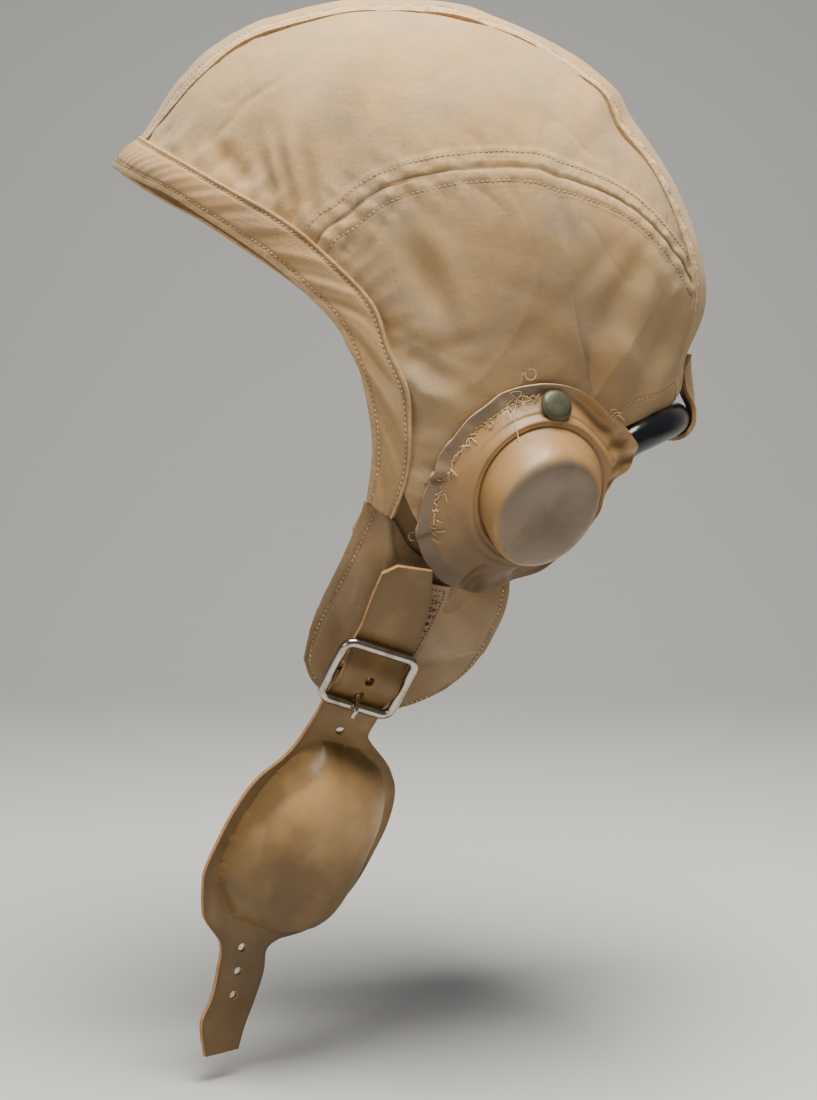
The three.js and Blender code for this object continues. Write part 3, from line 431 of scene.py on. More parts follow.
def spline_points(controls: Sequence[Sequence[float]], steps: int, centripetal: bool) -> Array:
    """Points on a Catmull-Rom spline through the controls.

    Args:
        controls: The points that it goes through.
        steps: Steps between two of them.
        centripetal: Whether the speed follows the root of the distance.

    Returns:
        The points, one row each.
    """
    p = np.asarray(controls, float)
    p = np.vstack([2 * p[0] - p[1], p, 2 * p[-1] - p[-2]])
    out = []
    for i in range(1, len(p) - 2):
        a, b, c, d = p[i - 1], p[i], p[i + 1], p[i + 2]
        if centripetal:
            t0, t1, t2 = (np.linalg.norm(k) ** 0.5 for k in (b - a, c - b, d - c))
            start = ((b - a) / t0 - (c - a) / (t0 + t1) + (c - b) / t1) * t1
            end = ((c - b) / t1 - (d - b) / (t1 + t2) + (d - c) / t2) * t1
        else:
            start = (c - a) / 2 if i > 1 else (c - b) / 2
            end = (d - b) / 2 if i < len(p) - 3 else (c - b) / 2
        s = np.linspace(0, 1, steps, endpoint=False)[:, None]
        out.append(
            (2 * s**3 - 3 * s**2 + 1) * b + (s**3 - 2 * s**2 + s) * start
            + (3 * s**2 - 2 * s**3) * c + (s**3 - s**2) * end
        )
    out.append(p[-2:-1])
    return np.vstack(out)


class Path:
    """A line of many points, read by the distance along it."""

    def __init__(self, points: Array) -> None:
        """Keeps the points and their distances.

        Args:
            points: The line's points, one row each.
        """
        self.points = points
        steps = np.linalg.norm(np.diff(points, axis=0), axis=1)
        self.along = np.concatenate([[0.0], np.cumsum(steps)])
        self.length = float(self.along[-1])

    def at(self, along: Array | float) -> Array:
        """The points at distances along the line."""
        along = np.atleast_1d(along)
        return np.stack([np.interp(along, self.along, c) for c in self.points.T], axis=-1)

    def share(self, share: Array | float) -> Array:
        """The points at shares of the length."""
        return self.at(np.asarray(share) * self.length)

    def tangent(self, along: Array | float) -> Array:
        """The directions at distances along the line.

        Args:
            along: The distances.

        Returns:
            The directions, at length 1.
        """
        along = np.atleast_1d(np.asarray(along, float))
        step = 0.4
        ahead = self.at(np.minimum(along + step, self.length))
        return unit(ahead - self.at(np.maximum(along - step, 0)))

    def measure(self, places: Array) -> tuple[Array, Array]:
        """How far places lie from the line, and where along it.

        Args:
            places: Points, one row each.

        Returns:
            The distances and the distances along the line.
        """
        near = np.empty(len(places))
        where = np.empty(len(places))
        chunk = 4000
        for start in range(0, len(places), chunk):
            part = places[start:start + chunk]
            gaps = ((part[:, None, :] - self.points[None, :, :]) ** 2).sum(-1)
            best = gaps.argmin(1)
            near[start:start + chunk] = np.sqrt(gaps[np.arange(len(part)), best])
            where[start:start + chunk] = self.along[best]
        return near, where


class HeadForm:
    """The form of the cap: each half is a dome on the side view outline.

    Disc coordinates flatten one half: the pole at 0 and the middle line at 1.
    """

    half_width = 80.0
    pole = SidePoint(20.0, -105.5)
    roundness = 2.15

    def __init__(self) -> None:
        """Measures the outline from the pole."""
        angles = [math.atan2(p.z - self.pole.z, p.y - self.pole.y) for p in OUTLINE]
        reaches = [math.hypot(p.y - self.pole.y, p.z - self.pole.z) for p in OUTLINE]
        self.reach = Curve.through(angles, reaches, TWIST)

    def spread(self, y: Array, z: Array) -> Array:
        """How far out side view points lie, 0 at the pole and 1 on the outline."""
        dy, dz = y - self.pole.y, z - self.pole.z
        return np.hypot(dy, dz) / self.reach(np.arctan2(dz, dy))

    def discs(self, rows: Sequence[SidePoint]) -> Array:
        """The disc points of side view points.

        Args:
            rows: The points of the side view.

        Returns:
            The disc points, one row each.
        """
        side = np.array(rows, float)
        dy, dz = side[:, 0] - self.pole.y, side[:, 1] - self.pole.z
        turn = np.arctan2(dz, dy)
        reach = np.clip(self.spread(side[:, 0], side[:, 1]), 0, 1)
        bend = np.arcsin(reach ** (self.roundness / 2)) / (math.pi / 2)
        return np.stack([bend * np.cos(turn), bend * np.sin(turn)], axis=-1)

    def points(self, discs: Array) -> Array:
        """The points on the left half at disc points.

        Args:
            discs: The disc points, one row each.

        Returns:
            The points in space.
        """
        turn = np.arctan2(discs[:, 1], discs[:, 0])
        bend = np.minimum(1, np.hypot(discs[:, 0], discs[:, 1])) * (math.pi / 2)
        reach = self.reach(turn) * np.sin(bend) ** (2 / self.roundness)
        return np.stack([
            self.half_width * np.cos(bend),
            self.pole.y + reach * np.cos(turn),
            self.pole.z + reach * np.sin(turn),
        ], axis=-1)

    def level(self, p: Array) -> Array:
        """Below 0 inside the form and above 0 outside it."""
        spread = self.spread(p[:, 1], p[:, 2])
        return (p[:, 0] / self.half_width) ** 2 + spread ** self.roundness - 1

    def normals(self, p: Array) -> Array:
        """The directions straight out of the form."""
        step = 0.05
        slopes = [self.level(p + axis) - self.level(p - axis) for axis in np.eye(3) * step]
        return unit(np.stack(slopes, axis=-1))

    def back(self, z: float) -> float:
        """The Y of the form's back on the middle line at a height."""
        ys = np.linspace(60, 140, 1600)
        return float(ys[np.argmin(np.abs(self.spread(ys, np.full_like(ys, z)) - 1))])


FORM = HeadForm()


def disc_path(rows: Sequence[SidePoint]) -> Path:
    """A seam or edge as a path in disc coordinates."""
    return Path(spline_points(FORM.discs(rows), 60, False))


STRIP_HALF = column_curve(STRIP, "angle", "half")


def strip_edge(degrees: Array, tuck: float = 0.0) -> Array:
    """Disc points of the crown strip's edge, drawn toward the middle by a tuck.

    Args:
        degrees: Directions in the side view.
        tuck: How far it is drawn in, in millimetres.

    Returns:
        The disc points.
    """
    degrees = np.atleast_1d(np.asarray(degrees, float))
    bend = np.arccos((STRIP_HALF(degrees) - tuck) / FORM.half_width) / (math.pi / 2)
    turn = np.radians(degrees)
    return np.stack([bend * np.cos(turn), bend * np.sin(turn)], axis=-1)


def heading_of(disc: Array) -> float:
    """The side view direction of a disc point, in degrees."""
    return math.degrees(math.atan2(disc[1], disc[0]))


def fold_depth(y: Array, z: Array, folds: Sequence[Fold]) -> Array:
    """How far folds raise or sink the cloth at side view points.

    Args:
        y: The points along Y.
        z: The points along Z.
        folds: The folds.

    Returns:
        The rise at each point.
    """
    total = np.zeros_like(y)
    for fold in folds:
        heading = math.radians(fold.heading)
        dy, dz = y - fold.y, z - fold.z
        along = dy * math.cos(heading) + dz * math.sin(heading)
        across = dz * math.cos(heading) - dy * math.sin(heading)
        fade = np.exp(-((across / fold.width) ** 2) - (along / (fold.length / 2)) ** 2)
        total += fold.depth * fade
    return total


def worn_creases(seed: int) -> tuple[Fold, ...]:
    """Faint creases that wear leaves all over the cap.

    Args:
        seed: The pattern's number.

    Returns:
        The creases as folds.
    """
    rng = np.random.default_rng(seed)
    creases = []
    for _ in range(46):
        depth = float(rng.choice([-1, 1]) * rng.uniform(0.2, 0.55))
        creases.append(Fold(
            float(rng.uniform(-85, 105)), float(rng.uniform(-150, -8)),
            float(rng.uniform(-115, -35)), float(rng.uniform(16, 46)),
            float(rng.uniform(2.6, 7)), depth,
        ))
    return tuple(creases)


def wrinkles(points: Array, size: float, seed: int) -> Array:
    """Thin wandering creases, longer downward than across.

    Args:
        points: Places, one row each.
        size: The usual distance between two of them.
        seed: The pattern's number.

    Returns:
        Values from 0 between the creases to 1 on them.
    """
    drawn = points * np.array([1.0, 1.0, 0.55])
    line = 1 - np.minimum(np.abs(drift(drawn, size, seed)) * 2.2, 1)
    return line**5 * np.clip(0.5 + drift(drawn, size * 2.5, seed + 9), 0, 1)


# Meshes


def link(name: str, mesh: bpy.types.Mesh) -> Piece:
    """Puts a mesh in the scene as an object at the origin."""
    piece = bpy.data.objects.new(name, mesh)
    bpy.context.scene.collection.objects.link(piece)
    return piece


def mesh_of(bm: bmesh.types.BMesh, name: str) -> bpy.types.Mesh:
    """A mesh from a bmesh, which is freed.

    Args:
        bm: The bmesh.
        name: The mesh's name.

    Returns:
        The mesh.
    """
    mesh = bpy.data.meshes.new(name)
    bm.to_mesh(mesh)
    bm.free()
    return mesh


@dataclass
class Sheet:
    """A grid of points shaped by a function, with a wall under it.

    Attributes:
        name: The piece's name.
        columns: Steps of the first direction.
        rows: Steps of the second direction.
        place: Gives the points, in millimetres, from shares of both directions.
        thickness: The wall, in millimetres.
        flat: Width and length of the pattern on it, in millimetres.
        outward: Gives directions roughly out of the sheet, for points and second shares.
        marks: Values kept for the materials, by name.
    """

    name: str
    columns: int
    rows: int
    place: Placer
    thickness: float
    flat: tuple[float, float]
    outward: Callable[[Array, Array], Array]
    marks: dict[str, Placer]

    def build(self, rim: float = 0.45, rim_material: bool = False,
              weld: bool = False) -> Piece:
        """Makes the piece.

        Args:
            rim: How much the wall's edge is rounded, in millimetres.
            rim_material: Whether the cut edge has the second material slot.
            weld: Whether borders that meet are joined.

        Returns:
            The piece, with its wall as modifiers.
        """
        bm = bmesh.new()
        bmesh.ops.create_grid(bm, x_segments=self.columns, y_segments=self.rows, size=0.5)
        mesh = mesh_of(bm, self.name)
        shares = np.empty(len(mesh.vertices) * 3, np.float32)
        mesh.vertices.foreach_get("co", shares)
        u, v = shares.reshape(-1, 3)[:, 0] + 0.5, shares.reshape(-1, 3)[:, 1] + 0.5
        points = self.place(u.astype(float), v.astype(float))
        mesh.vertices.foreach_set("co", (points * MM).astype(np.float32).ravel())
        mesh.update()
        self._lay_pattern(mesh, u, v)
        for key, value in self.marks.items():
            layer = mesh.attributes.new(key, "FLOAT", "POINT")
            layer.data.foreach_set("value", value(u, v).astype(np.float32))
        self._face_out(mesh, points, v)
        if weld:
            bm = bmesh.new()
            bm.from_mesh(mesh)
            bmesh.ops.remove_doubles(bm, verts=bm.verts, dist=1e-6)
            bm.to_mesh(mesh)
            bm.free()
        mesh.shade_smooth()
        piece = link(self.name, mesh)
        wall = piece.modifiers.new("wall", "SOLIDIFY")
        wall.thickness = self.thickness * MM
        wall.offset = -1
        if rim_material:
            wall.material_offset_rim = 1
        if rim:
            edge = piece.modifiers.new("edge", "BEVEL")
            edge.width = rim * MM
            edge.segments = 2
            edge.limit_method = "ANGLE"
            edge.angle_limit = math.radians(60)
        return piece

    def _lay_pattern(self, mesh: bpy.types.Mesh, u: Array, v: Array) -> None:
        """Lays the UV map in metres on the flat pattern.

        Args:
            mesh: The mesh.
            u: Shares of the first direction.
            v: Shares of the second direction.
        """
        corners = np.empty(len(mesh.loops), np.int32)
        mesh.loops.foreach_get("vertex_index", corners)
        flat = np.stack([u[corners] * self.flat[0], v[corners] * self.flat[1]], axis=-1) * MM
        mesh.uv_layers.new(name="pattern").data.foreach_set("uv", flat.astype(np.float32).ravel())

    def _face_out(self, mesh: bpy.types.Mesh, points: Array, v: Array) -> None:
        """Turns the faces to the sheet's outer side.

        Args:
            mesh: The mesh.
            points: Points, one row each.
            v: Shares of the second direction.
        """
        normals = np.empty(len(mesh.vertices) * 3, np.float32)
        mesh.vertices.foreach_get("normal", normals)
        if (normals.reshape(-1, 3) * self.outward(points, v)).sum() < 0:
            mesh.flip_normals()


def outward_of_form(points: Array, _: Array) -> Array:
    """Roughly out of the head."""
    return points - np.array([0.0, FORM.pole.y, FORM.pole.z])


def mirror_placer(place: Placer, side: Side) -> Placer:
    """The same shape on the other side of the head."""
    return lambda u, v: place(u, v) * side.flip


def plain(value: float) -> Placer:
    """A mark that is the same all over."""
    return lambda u, v: np.full_like(u, value)


def baked(piece: Piece) -> Piece:
    """Applies a piece's modifiers.

    Args:
        piece: The piece.

    Returns:
        The same piece with the finished mesh.
    """
    graph = bpy.context.evaluated_depsgraph_get()
    mesh = bpy.data.meshes.new_from_object(piece.evaluated_get(graph), depsgraph=graph)
    mesh.name = piece.name
    piece.modifiers.clear()
    piece.data = mesh
    return piece


def punched(piece: Piece, cutters: Sequence[Piece]) -> Piece:
    """Cuts shapes out of a piece and removes the cutters.

    Args:
        piece: The piece, a closed wall.
        cutters: Closed shapes.

    Returns:
        The cut piece.
    """
    for cutter in cutters:
        cut = piece.modifiers.new("hole", "BOOLEAN")
        cut.operation = "DIFFERENCE"
        cut.solver = "EXACT"
        cut.object = cutter
    baked(piece)
    for cutter in cutters:
        bpy.data.objects.remove(cutter)
    return piece


def basis(origin: Array, x: Array, y: Array, z: Array) -> Matrix:
    """A matrix with its axes as columns, in metres at a place in millimetres.

    Args:
        origin: The place, in millimetres.
        x: The first axis.
        y: The second axis.
        z: The third axis.

    Returns:
        The matrix.
    """
    matrix = Matrix.Identity(4)
    for column, axis in enumerate((x, y, z)):
        for row in range(3):
            matrix[row][column] = float(axis[row])
    for row in range(3):
        matrix[row][3] = float(origin[row]) * MM
    return matrix


def tube_piece(name: str, points: Array, radius: float, closed: bool = False,
               sides: int = 5) -> Piece:
    """A round bar or thread along a line.

    Args:
        name: The piece's name.
        points: The line, in millimetres.
        radius: Its radius, in millimetres.
        closed: Whether the line closes on itself.
        sides: Steps in a quarter of its round.

    Returns:
        The piece, as a mesh.
    """
    return threads_piece(name, [points], radius, closed, sides)


def threads_piece(name: str, lines: Sequence[Array], radius: float, closed: bool = False,
                  sides: int = 2) -> Piece:
    """Round bars or threads along several lines.

    Args:
        name: The piece's name.
        lines: The lines, in millimetres.
        radius: Their radius, in millimetres.
        closed: Whether the lines close on themselves.
        sides: Steps in a quarter of their round.

    Returns:
        The piece, as a mesh.
    """
    curve = bpy.data.curves.new(name, "CURVE")
    curve.dimensions = "3D"
    curve.bevel_depth = radius * MM
    curve.bevel_resolution = sides
    curve.use_fill_caps = not closed
    for points in lines:
        spline = curve.splines.new("POLY")
        spline.points.add(len(points) - 1)
        flat = np.hstack([points * MM, np.ones((len(points), 1))])
        spline.points.foreach_set("co", flat.astype(np.float32).ravel())
        spline.use_cyclic_u = closed
    source = link(name, curve)
    graph = bpy.context.evaluated_depsgraph_get()
    mesh = bpy.data.meshes.new_from_object(source.evaluated_get(graph), depsgraph=graph)
    bpy.data.objects.remove(source)
    bpy.data.curves.remove(curve)
    mesh.shade_smooth()
    return link(name, mesh)


def joined(name: str, pieces: Sequence[Piece]) -> Piece:
    """Joins pieces into one mesh.

    Args:
        name: The new piece's name.
        pieces: Pieces at the origin, without modifiers.

    Returns:
        The joined piece.
    """
    bm = bmesh.new()
    for piece in pieces:
        bm.from_mesh(piece.data)
        bpy.data.objects.remove(piece)
    mesh = mesh_of(bm, name)
    mesh.shade_smooth()
    return link(name, mesh)


@dataclass(frozen=True)
class Stitching:
    """A row of thread stitches.

    Attributes:
        pitch: From one stitch to the next, in millimetres.
        length: The seen length of a stitch.
        radius: The thread's radius.
        slant: How far a stitch turns from the row, in degrees.
        seed: The unevenness' number.
    """

    pitch: float = 1.9
    length: float = 1.45
    radius: float = 0.31
    slant: float = 9.0
    seed: int = 3

    def sew(self, name: str, rows: Sequence[tuple[Array, Array]]) -> Piece:
        """Makes the stitches of several rows as one piece.

        Args:
            name: The piece's name.
            rows: For each row, its points and the outward directions there, in millimetres.

        Returns:
            The piece.
        """
        rng = np.random.default_rng(self.seed)
        places = [matrix for points, normals in rows for matrix in self._row(points, normals, rng)]
        whole = bmesh.new()
        batch = 40
        for start in range(0, len(places), batch):
            part = bmesh.new()
            for matrix in places[start:start + batch]:
                bmesh.ops.create_uvsphere(part, u_segments=6, v_segments=4, radius=1, matrix=matrix)
            mesh = mesh_of(part, "batch")
            whole.from_mesh(mesh)
            bpy.data.meshes.remove(mesh)
        mesh = mesh_of(whole, name)
        mesh.shade_smooth()
        return link(name, mesh)

    def _row(self, points: Array, normals: Array, rng: np.random.Generator) -> list[Matrix]:
        """The places of one row's stitches.

        Args:
            points: The row's points.
            normals: The outward directions there.
            rng: The source of their unevenness.

        Returns:
            A matrix for each stitch, which turns a unit ball into it.
        """
        path = Path(points)
        places = []
        for along in np.arange(self.pitch / 2, path.length, self.pitch):
            at = float(along + rng.uniform(-0.08, 0.08) * self.pitch)
            out = unit(np.array([np.interp(at, path.along, column) for column in normals.T]))
            down = path.tangent(at)[0]
            side = unit(np.cross(out, down))
            turn = math.radians(self.slant + rng.normal() * 4)
            line = math.cos(turn) * down + math.sin(turn) * side
            side = np.cross(out, line)
            half = self.length / 2 * rng.uniform(0.88, 1.08)
            places.append(basis(
                path.at(at)[0] + out * self.radius * 0.25,
                line * half * MM, side * self.radius * MM, out * self.radius * MM,
            ))
        return places


# Materials

class Nodes:
    """The node tree of a material or a group, with short ways to add to it."""

    def __init__(self, tree: bpy.types.NodeTree) -> None:
        """Keeps the tree."""
        self.tree = tree

    def add(self, kind: str, **settings: object) -> bpy.types.Node:
        """Adds a node with its settings.

        Args:
            kind: The node's type.
            settings: Its settings, by name.

        Returns:
            The node.
        """
        node = self.tree.nodes.new(kind)
        for key, value in settings.items():
            setattr(node, key, value)
        return node

    def join(self, start: Socket, end: Socket) -> None:
        """Links two sockets."""
        self.tree.links.new(start, end)

    def noise(self, place: Socket, scale: float, detail: float = 3.0,
              rough: float = 0.55) -> Socket:
        """A noise value.

        Args:
            place: The coordinates.
            scale: Its scale in metres.
            detail: Its octaves.
            rough: How strong the fine ones are.

        Returns:
            The value's socket.
        """
        node = self.add("ShaderNodeTexNoise")
        set_inputs(node, {"Scale": scale, "Detail": detail, "Roughness": rough})
        self.join(place, node.inputs["Vector"])
        return node.outputs["Fac"]

    def band(self, value: Socket, low: float, high: float, start: float = 0.0,
             end: float = 1.0) -> Socket:
        """Maps a value's range to another, held at its ends.

        Args:
            value: The value.
            low: Its low end.
            high: Its high end.
            start: The result at the low end.
            end: The result at the high end.

        Returns:
            The result's socket.
        """
        node = self.add("ShaderNodeMapRange")
        set_inputs(node, {"From Min": low, "From Max": high, "To Min": start, "To Max": end})
        self.join(value, node.inputs["Value"])
        return node.outputs["Result"]

    def mix(self, share: Socket, first: object, second: object,
            blend: str = "MIX") -> Socket:
        """Mixes two colours, each a colour or a socket.

        Args:
            share: The second colour's share.
            first: The first colour.
            second: The second colour.
            blend: The way of mixing.

        Returns:
            The colour's socket.
        """
        node = self.add("ShaderNodeMix", data_type="RGBA", blend_type=blend)
        self.join(share, node.inputs[0])
        for socket, value in ((node.inputs[6], first), (node.inputs[7], second)):
            if isinstance(value, Socket):
                self.join(value, socket)
            else:
                socket.default_value = (*value, 1.0)
        return node.outputs[2]

    def maths(self, operation: str, first: Socket,
              second: Socket | float) -> Socket:
        """One sum of two values.

        Args:
            operation: Its name.
            first: The first value.
            second: The second value or socket.

        Returns:
            The result's socket.
        """
        node = self.add("ShaderNodeMath", operation=operation)
        self.join(first, node.inputs[0])
        if isinstance(second, Socket):
            self.join(second, node.inputs[1])
        else:
            node.inputs[1].default_value = second
        return node.outputs[0]

    def shifted(self, place: Socket, shift: float) -> Socket:
        """Coordinates moved the same way along every axis.

        Args:
            place: The coordinates.
            shift: How far, in metres.

        Returns:
            The result's socket.
        """
        node = self.add("ShaderNodeVectorMath", operation="ADD")
        self.join(place, node.inputs[0])
        node.inputs[1].default_value = (shift, shift, shift)
        return node.outputs[0]

    def place(self) -> Socket:
        """The place on the piece, in metres."""
        return self.add("ShaderNodeTexCoord").outputs["Object"]

    def mark(self, name: str) -> Socket:
        """A value kept on the mesh."""
        return self.add("ShaderNodeAttribute", attribute_name=name).outputs["Fac"]

    def relief(self, height: Socket, distance: float,
               under: Socket | None = None) -> Socket:
        """A bump of the surface.

        Args:
            height: The height.
            distance: Its depth, in millimetres.
            under: The normal it adds to.

        Returns:
            The normal's socket.
        """
        node = self.add("ShaderNodeBump")
        set_inputs(node, {"Strength": 1.0, "Distance": distance * MM})
        self.join(height, node.inputs["Height"])
        if under:
            self.join(under, node.inputs["Normal"])
        return node.outputs["Normal"]


def set_inputs(node: bpy.types.Node, values: dict[str, float]) -> None:
    """Sets inputs of a node by their names."""
    for key, value in values.items():
        node.inputs[key].default_value = value


def new_group(name: str, inputs: Sequence[tuple[str, str, object]],
              outputs: Sequence[tuple[str, str]]) -> tuple[Nodes, bpy.types.Node, bpy.types.Node]:
    """Starts a node group.

    Args:
        name: Its name.
        inputs: Name, socket kind and default of each input.
        outputs: Name and socket kind of each output.

    Returns:
        Its nodes, its input node and its output node.
    """
    tree = bpy.data.node_groups.new(name, "ShaderNodeTree")
    for label, kind, default in inputs:
        socket = tree.interface.new_socket(label, in_out="INPUT", socket_type=kind)
        if default is not None:
            socket.default_value = default
    for label, kind in outputs:
        tree.interface.new_socket(label, in_out="OUTPUT", socket_type=kind)
    nodes = Nodes(tree)
    return nodes, nodes.add("NodeGroupInput"), nodes.add("NodeGroupOutput")


def twill_group() -> bpy.types.NodeTree:
    """A twill weave: the height of its slanting ribs, and specks of darker thread.

    Returns:
        The group.
    """
    nodes, given, result = new_group(
        "twill_weave", [("Pattern", "NodeSocketVector", None)],
        [("Height", "NodeSocketFloat"), ("Specks", "NodeSocketFloat")],
    )
    place = given.outputs["Pattern"]
    ribs = nodes.add("ShaderNodeTexWave", wave_type="BANDS", bands_direction="DIAGONAL")
    set_inputs(ribs, {"Scale": 900.0, "Distortion": 1.2, "Detail": 1.0})
    nodes.join(place, ribs.inputs["Vector"])
    fuzz = nodes.noise(place, 1500.0, 2.0)
    nodes.join(nodes.maths("ADD", ribs.outputs["Fac"], fuzz), result.inputs["Height"])
    nodes.join(nodes.band(nodes.noise(place, 950.0, 3.0, 0.7), 0.36, 0.66), result.inputs["Specks"])
    return nodes.tree


def grain_group() -> bpy.types.NodeTree:
    """The grain of smooth leather: its height and soft blotches.

    Returns:
        The group.
    """
    nodes, given, result = new_group(
        "leather_grain", [("Place", "NodeSocketVector", None)],
        [("Height", "NodeSocketFloat"), ("Blotches", "NodeSocketFloat")],
    )
    place = given.outputs["Place"]
    cells = nodes.add("ShaderNodeTexVoronoi", feature="DISTANCE_TO_EDGE")
    cells.inputs["Scale"].default_value = 900.0
    nodes.join(place, cells.inputs["Vector"])
    creases = nodes.band(cells.outputs["Distance"], 0.0, 0.25)
    pores = nodes.noise(place, 420.0, 4.0, 0.65)
    nodes.join(nodes.maths("ADD", nodes.maths("MULTIPLY", creases, 0.35), pores),
               result.inputs["Height"])
    nodes.join(nodes.noise(place, 55.0, 4.0, 0.6), result.inputs["Blotches"])
    return nodes.tree


TWILL_WEAVE = twill_group()
LEATHER_GRAIN = grain_group()


def new_material(name: str) -> tuple[bpy.types.Material, Nodes, bpy.types.Node]:
    """Starts a material with a Principled shader.

    Args:
        name: Its name.

    Returns:
        The material, its nodes and its shader.
    """
    material = bpy.data.materials.new(name)
    material.use_nodes = True
    nodes = Nodes(material.node_tree)
    return material, nodes, material.node_tree.nodes["Principled BSDF"]


@dataclass(frozen=True)
class TwillFinish:
    """Faded cotton twill.

    Attributes:
        name: The material's name.
        light: Where the cloth is faded.
        deep: Where it keeps its colour.
        cool: Where it has greyed.
        warm: Where it has yellowed.
        soil: Where the cloth is soiled, and where shade is painted: in the band's dents, behind the
            flap's fold, over the facing and over the middle of the side panels.
        soil_share: How strong the soiling and the painted shade are.
    """

    name: str
    light: Triple
    deep: Triple
    cool: Triple
    warm: Triple
    soil: Triple
    soil_share: float = 1.0

    def material(self) -> bpy.types.Material:
        """Makes the material.

        Returns:
            The material.
        """
        material, nodes, shader = new_material(self.name)
        pattern = nodes.add("ShaderNodeUVMap", uv_map="pattern").outputs["UV"]
        place = nodes.place()
        weave = nodes.add("ShaderNodeGroup", node_tree=TWILL_WEAVE)
        nodes.join(pattern, weave.inputs["Pattern"])
        fade = nodes.band(nodes.noise(place, 26.0, 4.0, 0.6), 0.35, 0.68)
        colour = nodes.mix(fade, self.deep, self.light)
        greyed = nodes.band(nodes.noise(place, 42.0, 5.0, 0.65), 0.44, 0.66, 0.0, 0.75)
        colour = nodes.mix(greyed, colour, self.cool)
        elsewhere = nodes.shifted(place, 3.1)
        warmed = nodes.band(nodes.noise(elsewhere, 36.0, 4.0, 0.6), 0.48, 0.68, 0.0, 0.55)
        colour = nodes.mix(warmed, colour, self.warm)
        worn = nodes.maths("MULTIPLY", nodes.mark("wear"), nodes.band(
            nodes.noise(place, 520.0, 3.0, 0.7), 0.4, 0.58, 0.2, 1.0))
        colour = nodes.mix(worn, colour, tuple(min(1.0, c * 1.3 + 0.04) for c in self.light))
        # The soil mark mixes in the soil colour, both as soiling and as painted shade.
        dirt_and_shade = nodes.maths("MULTIPLY", nodes.mark("soil"), self.soil_share)
        colour = nodes.mix(dirt_and_shade, colour, self.soil)
        specks = nodes.maths("MULTIPLY", weave.outputs["Specks"], 0.16)
        colour = nodes.mix(specks, colour, self.soil)
        nodes.join(colour, shader.inputs["Base Color"])
        set_inputs(shader, {"Roughness": 0.92, "Specular IOR Level": 0.25, "Sheen Weight": 0.12,
                            "Sheen Roughness": 0.5})
        soft = nodes.relief(nodes.noise(place, 190.0, 4.0, 0.6), 0.35)
        nodes.join(nodes.relief(weave.outputs["Height"], 0.06, soft), shader.inputs["Normal"])
        return material


@dataclass(frozen=True)
class LeatherFinish:
    """Smooth leather with a warm and a grey tone.

    Attributes:
        name: The material's name.
        warm: Where the mark named tone is 0.
        grey: Where it is 1; on the chin strap it is a painted highlight.
        stain: In blotches, at soiled edges, and as painted shade on the lower parts of the ear cups
            and chin strap and in the corner at the cup's dome foot.
        roughness: How dull it is.
        grain: The grain's depth, in millimetres.
    """

    name: str
    warm: Triple
    grey: Triple
    stain: Triple
    roughness: float = 0.5
    grain: float = 0.05

    def material(self) -> bpy.types.Material:
        """Makes the material.

        Returns:
            The material.
        """
        material, nodes, shader = new_material(self.name)
        place = nodes.place()
        grain = nodes.add("ShaderNodeGroup", node_tree=LEATHER_GRAIN)
        nodes.join(place, grain.inputs["Place"])
        uneven = nodes.band(nodes.noise(place, 60.0, 3.0, 0.5), 0.3, 0.7, -0.22, 0.22)
        # The tone mark gives the grey colour, which on the chin strap is a painted highlight.
        colour = nodes.mix(nodes.maths("ADD", nodes.mark("tone"), uneven), self.warm, self.grey)
        blotches = nodes.band(grain.outputs["Blotches"], 0.5, 0.72, 0.0, 0.35)
        colour = nodes.mix(blotches, colour, self.stain)
        # The soil mark paints the stain colour, both as soiling and as painted shade.
        colour = nodes.mix(nodes.mark("soil"), colour, self.stain)
        nodes.join(colour, shader.inputs["Base Color"])
        dull = nodes.band(grain.outputs["Blotches"], 0.3, 0.7, self.roughness - 0.07,
                          self.roughness + 0.1)
        nodes.join(dull, shader.inputs["Roughness"])
        shader.inputs["Specular IOR Level"].default_value = 0.4
        nodes.join(nodes.relief(grain.outputs["Height"], self.grain), shader.inputs["Normal"])
        return material


@dataclass(frozen=True)
class RawLeatherFinish:
    """The cut edge or the rough side of leather.

    Attributes:
        name: The material's name.
        light: The colour of its raised fibres.
        deep: The colour between them.
    """

    name: str
    light: Triple
    deep: Triple

    def material(self) -> bpy.types.Material:
        """Makes the material.

        Returns:
            The material.
        """
        material, nodes, shader = new_material(self.name)
        place = nodes.place()
        fibres = nodes.noise(place, 900.0, 5.0, 0.75)
        nodes.join(nodes.mix(nodes.band(fibres, 0.35, 0.65), self.deep, self.light),
                   shader.inputs["Base Color"])
        set_inputs(shader, {"Roughness": 0.95, "Specular IOR Level": 0.2})
        nodes.join(nodes.relief(fibres, 0.35), shader.inputs["Normal"])
        return material


@dataclass(frozen=True)
class HardFinish:
    """A hard, smooth finish: metal, enamel or rubber.

    Attributes:
        name: The material's name.
        colour: The clean colour.
        worn: The colour where it is worn or dirty.
        metallic: Whether it is bare metal.
        roughness: How dull it is.
        scratches: The depth of its fine scratches, in millimetres.
    """

    name: str
    colour: Triple
    worn: Triple
    metallic: float
    roughness: float
    scratches: float = 0.01

    def material(self) -> bpy.types.Material:
        """Makes the material.

        Returns:
            The material.
        """
        material, nodes, shader = new_material(self.name)
        place = nodes.place()
        patches = nodes.band(nodes.noise(place, 170.0, 4.0, 0.65), 0.48, 0.72)
        nodes.join(nodes.mix(patches, self.colour, self.worn), shader.inputs["Base Color"])
        nodes.join(nodes.band(nodes.noise(place, 420.0, 4.0, 0.6), 0.3, 0.7, self.roughness * 0.75,
                              self.roughness * 1.4), shader.inputs["Roughness"])
        shader.inputs["Metallic"].default_value = self.metallic
        nodes.join(nodes.relief(nodes.noise(place, 1400.0, 3.0, 0.6), self.scratches),
                   shader.inputs["Normal"])
        return material


